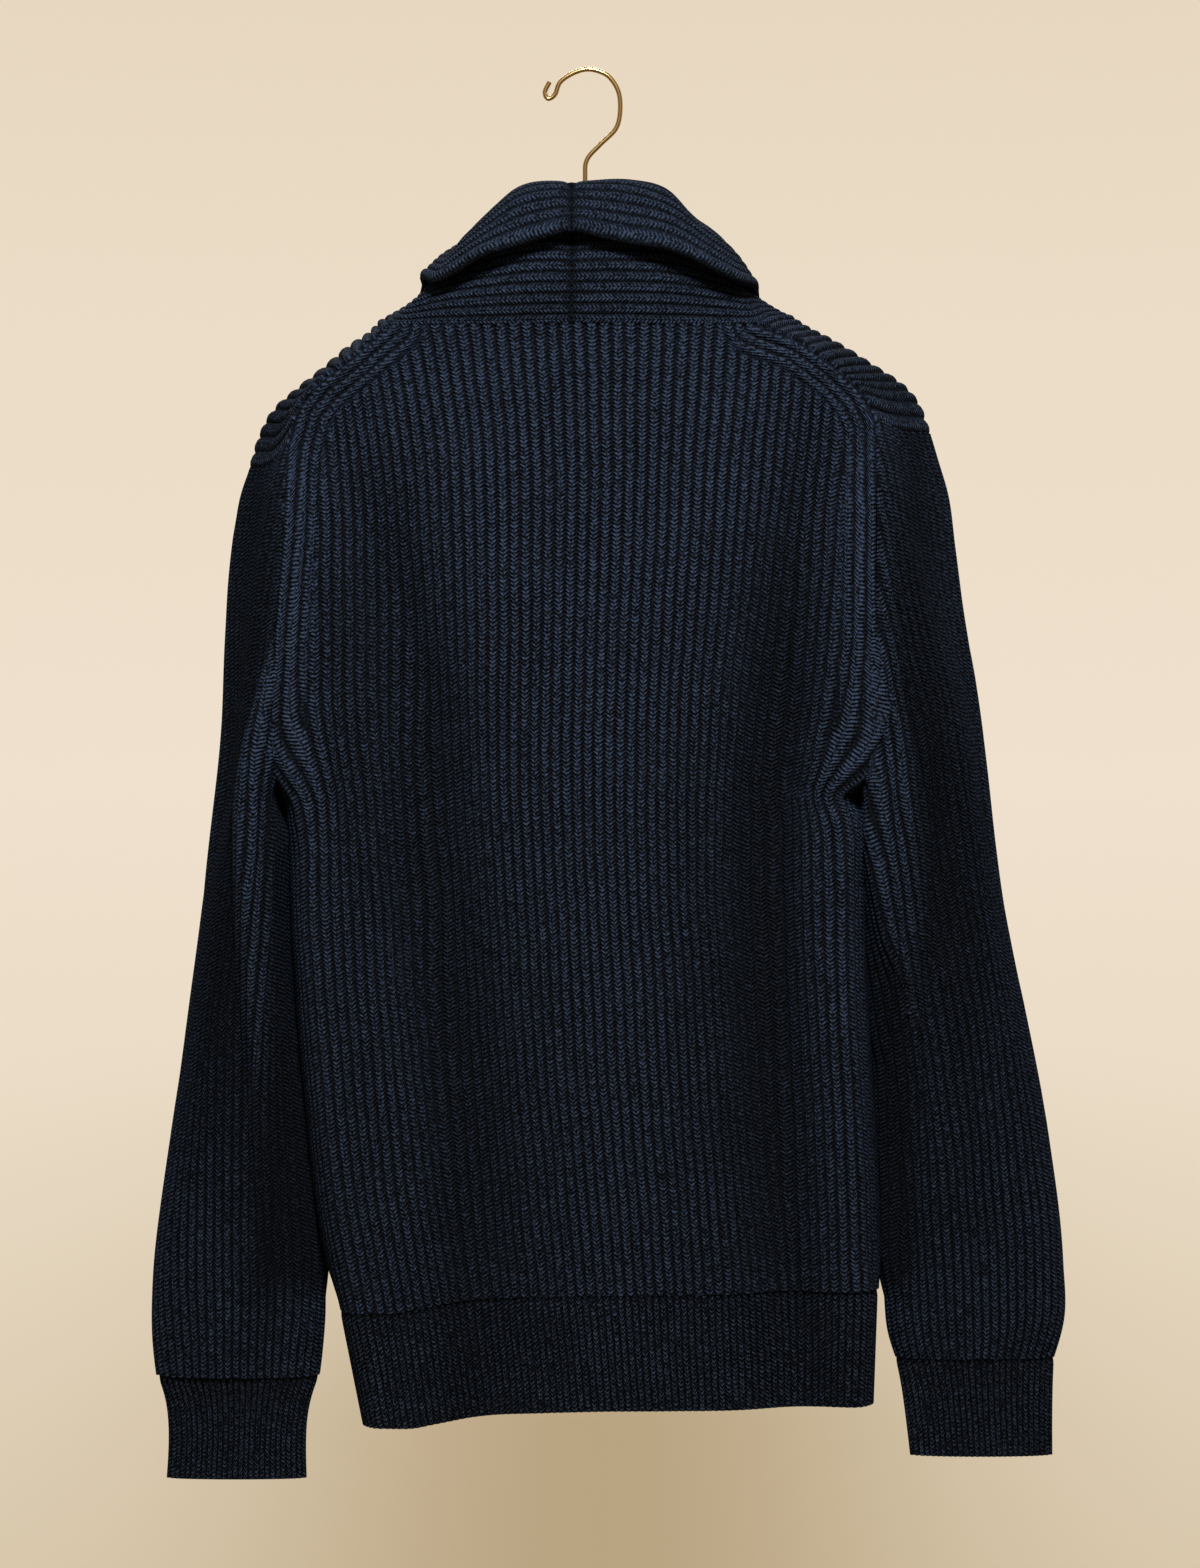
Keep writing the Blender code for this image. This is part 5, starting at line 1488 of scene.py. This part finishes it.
def button_shape():
    """A button's points in millimetres and its faces; the last four are thread holes."""
    points, faces = [], []
    for reach, rise in BUTTON_OUTLINE:
        for turn in np.arange(BUTTON_SIDES) * 2 * math.pi / BUTTON_SIDES:
            x, z = BUTTON_RADIUS * reach * math.cos(turn), BUTTON_RADIUS * reach * math.sin(turn)
            points.append((x, BUTTON_THICKNESS * (rise - 0.5), z))
    for ring in range(len(BUTTON_OUTLINE) - 1):
        for step in range(BUTTON_SIDES):
            near, far = (ring * BUTTON_SIDES + n for n in (step, (step + 1) % BUTTON_SIDES))
            faces.append((near, far, far + BUTTON_SIDES, near + BUTTON_SIDES))
    for turn in (math.pi / 4 + hole * math.pi / 2 for hole in range(4)):
        x, z = HOLE_REACH * math.cos(turn), HOLE_REACH * math.sin(turn)
        start = len(points)
        for right, up in ((-1, -1), (1, -1), (1, 1), (-1, 1)):
            points.append((x + right * HOLE_HALF, BUTTON_THICKNESS * HOLE_RISE, z + up * HOLE_HALF))
        faces.append((start, start + 3, start + 2, start + 1))
    return points, faces


def build_buttons():
    """Turned horn buttons, each with a rim, a dished middle and four thread holes."""
    horn = plain("horn", (0.035, 0.022, 0.014, 1.0), 0.32)
    thread = plain("thread", (0.01, 0.014, 0.024, 1.0), 0.9)
    points, faces = button_shape()
    for number in range(1, BUTTON_COUNT + 1):
        node = f"button_{number}"
        mesh = bpy.data.meshes.new(f"horn_{number}")
        mesh.from_pydata([tuple(value * MM for value in point) for point in points], [], faces)
        mesh.materials.append(horn)
        mesh.materials.append(thread)
        for face in mesh.polygons[-4:]:
            face.material_index = 1
        mesh.shade_smooth()
        mesh.set_sharp_from_angle(angle=BUTTON_SHARP)
        obj = link_object(mesh.name, mesh)
        low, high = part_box(node)
        obj.location = (low + high) / 2
        dress(obj, node, "horn")


# ----------------------------------------------------------- stage and camera

# The cream walls' colour by height, as the sine of the direction from -1/6 to 1/6, with painted light:
# brightest about level and darker lower down.
WALL_MIDDLE = (0.83, 0.715, 0.57, 1.0)
WALL_STOPS = (
    (0.0, (0.70, 0.585, 0.42, 1.0)),
    (0.31, WALL_MIDDLE),
    (0.5, (0.86, 0.75, 0.61, 1.0)),
    (0.8, WALL_MIDDLE),
    (1.0, (0.80, 0.68, 0.53, 1.0)),
)
WALL_SPREAD = (3.0, 0.5)
# The garment's shadow painted on the walls low down behind it: its colour, width, top and depth.
PAINTED_SHADOW_COLOUR = (0.485, 0.371, 0.223, 1.0)
PAINTED_SHADOW_WIDTH = 0.075  # directions, as sines
PAINTED_SHADOW_TOP = 0.05
PAINTED_SHADOW_DEPTH = 0.085
DIM_SIDE = 0.28  # how bright the walls behind the camera are
DIM_TURN = 2.0  # how soon they have dimmed
FLOOR_RADIUS = 1.25
FLOOR_HEIGHT = -1.32
FLOOR_SIDES = 64

# Each light's name, place, target, size, watts, colour and spread in degrees.
LIGHTS = (
    ("key", (0.1, -2.2, 1.35), (0.0, 0.0, -0.47), 0.5, 0.5, 6.3, (0.93, 0.965, 1.0), 38),
    ("fill", (-0.6, -2.8, 0.6), (0.0, 0.0, -0.45), 1.6, 1.6, 0.6, (0.95, 0.97, 1.0), 180),
    ("front", (-0.1, 2.2, 1.35), (0.0, 0.0, -0.5), 1.4, 0.8, 10.0, (0.96, 0.97, 1.0), 70),
)
CAMERA_PLACE = (0.00903, -3.03, -0.4599)
CAMERA_LENS = 107.7
CAMERA_SENSOR = 36.0
CAMERA_REACH = 50.0


def area_light(name, place, target, width, height, power, colour, spread):
    """A soft rectangular light."""
    data = bpy.data.lights.new(name, "AREA")
    data.shape = "RECTANGLE"
    data.size, data.size_y = width, height
    data.energy = power
    data.color = colour
    data.spread = math.radians(spread)
    obj = link_object(name, data)
    obj.location = place
    aim = Vector(target) - Vector(place)
    obj.rotation_euler = aim.to_track_quat("-Z", "Y").to_euler()


def surroundings():
    """Cream studio walls with painted light that is darker lower down, the garment's shadow painted low
    down behind it, and dimmer behind the camera.
    """
    world = bpy.data.worlds.new("cream")
    bpy.context.scene.world = world
    shading = Shading(world)
    calc = shading.calc
    split = shading.add("SeparateXYZ", [shading.add("TexCoord").outputs["Generated"]])
    x, y, z = split.outputs
    ramp = shading.add("ValToRGB", [calc("MULTIPLY_ADD", z, *WALL_SPREAD)])
    stops = ramp.color_ramp.elements
    stops.remove(stops[1])
    stops[0].position, stops[0].color = WALL_STOPS[0]
    for position, colour in WALL_STOPS[1:]:
        stops.new(position).color = colour
    aside = calc("POWER", calc("MULTIPLY", x, 1 / PAINTED_SHADOW_WIDTH), 2.0)
    low = calc("MULTIPLY", calc("ADD", z, PAINTED_SHADOW_TOP), -1 / PAINTED_SHADOW_DEPTH)
    fade = calc("EXPONENT", calc("MULTIPLY", aside, -1.0))
    painted_shade = calc("MULTIPLY", fade, shading.limited(low, 0.0, 1.0))
    mixed = {"Factor": painted_shade, "A": ramp.outputs[0], "B": PAINTED_SHADOW_COLOUR}
    wall = shading.add("Mix", mixed, data_type="RGBA").outputs["Result"]
    behind = shading.limited(calc("MULTIPLY", y, DIM_TURN), 0.0, 1.0)
    strength = calc("MULTIPLY_ADD", behind, 1.0 - DIM_SIDE, DIM_SIDE)
    shading.feed(shading.nodes["Background"], {"Color": wall, "Strength": strength})


def stage_and_camera():
    """A pale floor, the cream surroundings, soft lights and the long-lens camera."""
    scene = bpy.context.scene
    scene.view_settings.view_transform = "Standard"
    surroundings()
    floor = bpy.data.meshes.new("floor")
    turns = np.linspace(0, 2 * math.pi, FLOOR_SIDES, endpoint=False)
    rim = [(FLOOR_RADIUS * math.cos(a), FLOOR_RADIUS * math.sin(a), FLOOR_HEIGHT) for a in turns]
    floor.from_pydata(rim, [], [tuple(range(FLOOR_SIDES))])
    floor.materials.append(plain("pale_floor", (0.78, 0.68, 0.55, 1.0), 0.9))
    link_object("floor", floor)
    for light in LIGHTS:
        area_light(*light)
    data = bpy.data.cameras.new("camera")
    data.lens, data.sensor_width, data.clip_end = CAMERA_LENS, CAMERA_SENSOR, CAMERA_REACH
    camera = link_object("camera", data)
    camera.location = CAMERA_PLACE
    camera.rotation_euler = (math.pi / 2, 0.0, 0.0)
    scene.camera = camera


# ----------------------------------------------------------------- everything

# Each kind of piece: its ribs, the fine rows to each of its rows, the wall under its
# ribs and their height in millimetres, its slot, and its flat size and area in metres.
Kind = namedtuple("Kind", "ribs rows wall height slot flat area")
BODY_ROWS = [6, 6, 8, 8, 10, 10, 10, 10]
KINDS = {
    "back": Kind(72, [44, 20, 14] + BODY_ROWS, 1.2, 2.5, "wool", (0.5, 0.64), 0.285),
    "front": Kind(34, [6, 8, 8, 8, 8, 8] + BODY_ROWS, 1.2, 2.5, "wool", (0.24, 0.69), 0.128),
    "sleeve": Kind(46, 12, 1.1, 2.8, "wool", (0.33, 0.6), 0.156),
    "cuff": Kind(54, 12, 1.2, 2.3, "wool_band", (0.22, 0.07), None),
    "back_hem": Kind(101, 16, 1.1, 2.6, "wool_band", (0.5, 0.075), None),
    "front_hem": Kind(48, 16, 1.1, 2.6, "wool_band", (0.24, 0.075), None),
    "collar": Kind(22, [32] + [12] * 16, 1.8, 1.2, "wool", (0.1, 0.84), None),
}


def add_piece(panel, kind, materials, fields, pattern=even_ribs, both=False):
    """Draws a panel finely, presses the fields into it, knits it and puts it in place of its solid, which
    is hidden.

    both is for the collar, which is ribbed on both faces and meets at the centre back.
    """
    cloth = Cloth(panel, kind.ribs, kind.rows)
    for field in fields:
        cloth.press(field)
    if both:
        cloth.base[0, :, 0] = CENTRE_BACK
    else:
        cloth.find_normals()
    obj = make_cloth(cloth, kind.wall, kind.height, pattern, both, materials[kind.slot])
    dress(obj, panel.name, kind.slot)


def main():
    """Loads the solids' frame and builds the cardigan on its hanger."""
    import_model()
    materials = {slot: wool(*looks) for slot, looks in WOOLS.items()}
    valleys = folds(BACK_FOLDS)
    back = back_panel()
    add_piece(back, KINDS["back"], materials, [unevenness, valleys, touch], edge_ribs)
    for sign in (-1, 1):
        front_folds = folds(FRONT_FOLDS[sign])
        front = front_panel(sign)
        add_piece(front, KINDS["front"], materials, [unevenness, front_folds, touch])
        arm = sleeve(sign, front)
        arm_folds = [folds(SLEEVE_BACK_FOLDS[sign], -1.0), folds(SLEEVE_FRONT_FOLDS[sign], 1.0)]
        add_piece(arm, KINDS["sleeve"], materials, [unevenness, *arm_folds, touch])
        add_piece(cuff(sign, arm), KINDS["cuff"], materials, [band_seam])
        hem = front_hem(sign, front)
        add_piece(hem, KINDS["front_hem"], materials, [front_folds, band_seam])
        collar = collar_half(sign, front, hem)
        add_piece(collar, KINDS["collar"], materials, [collar_seam], rolled_edge, both=True)
    add_piece(back_hem(back), KINDS["back_hem"], materials, [valleys, band_seam])
    build_hanger()
    build_buttons()
    stage_and_camera()


main()
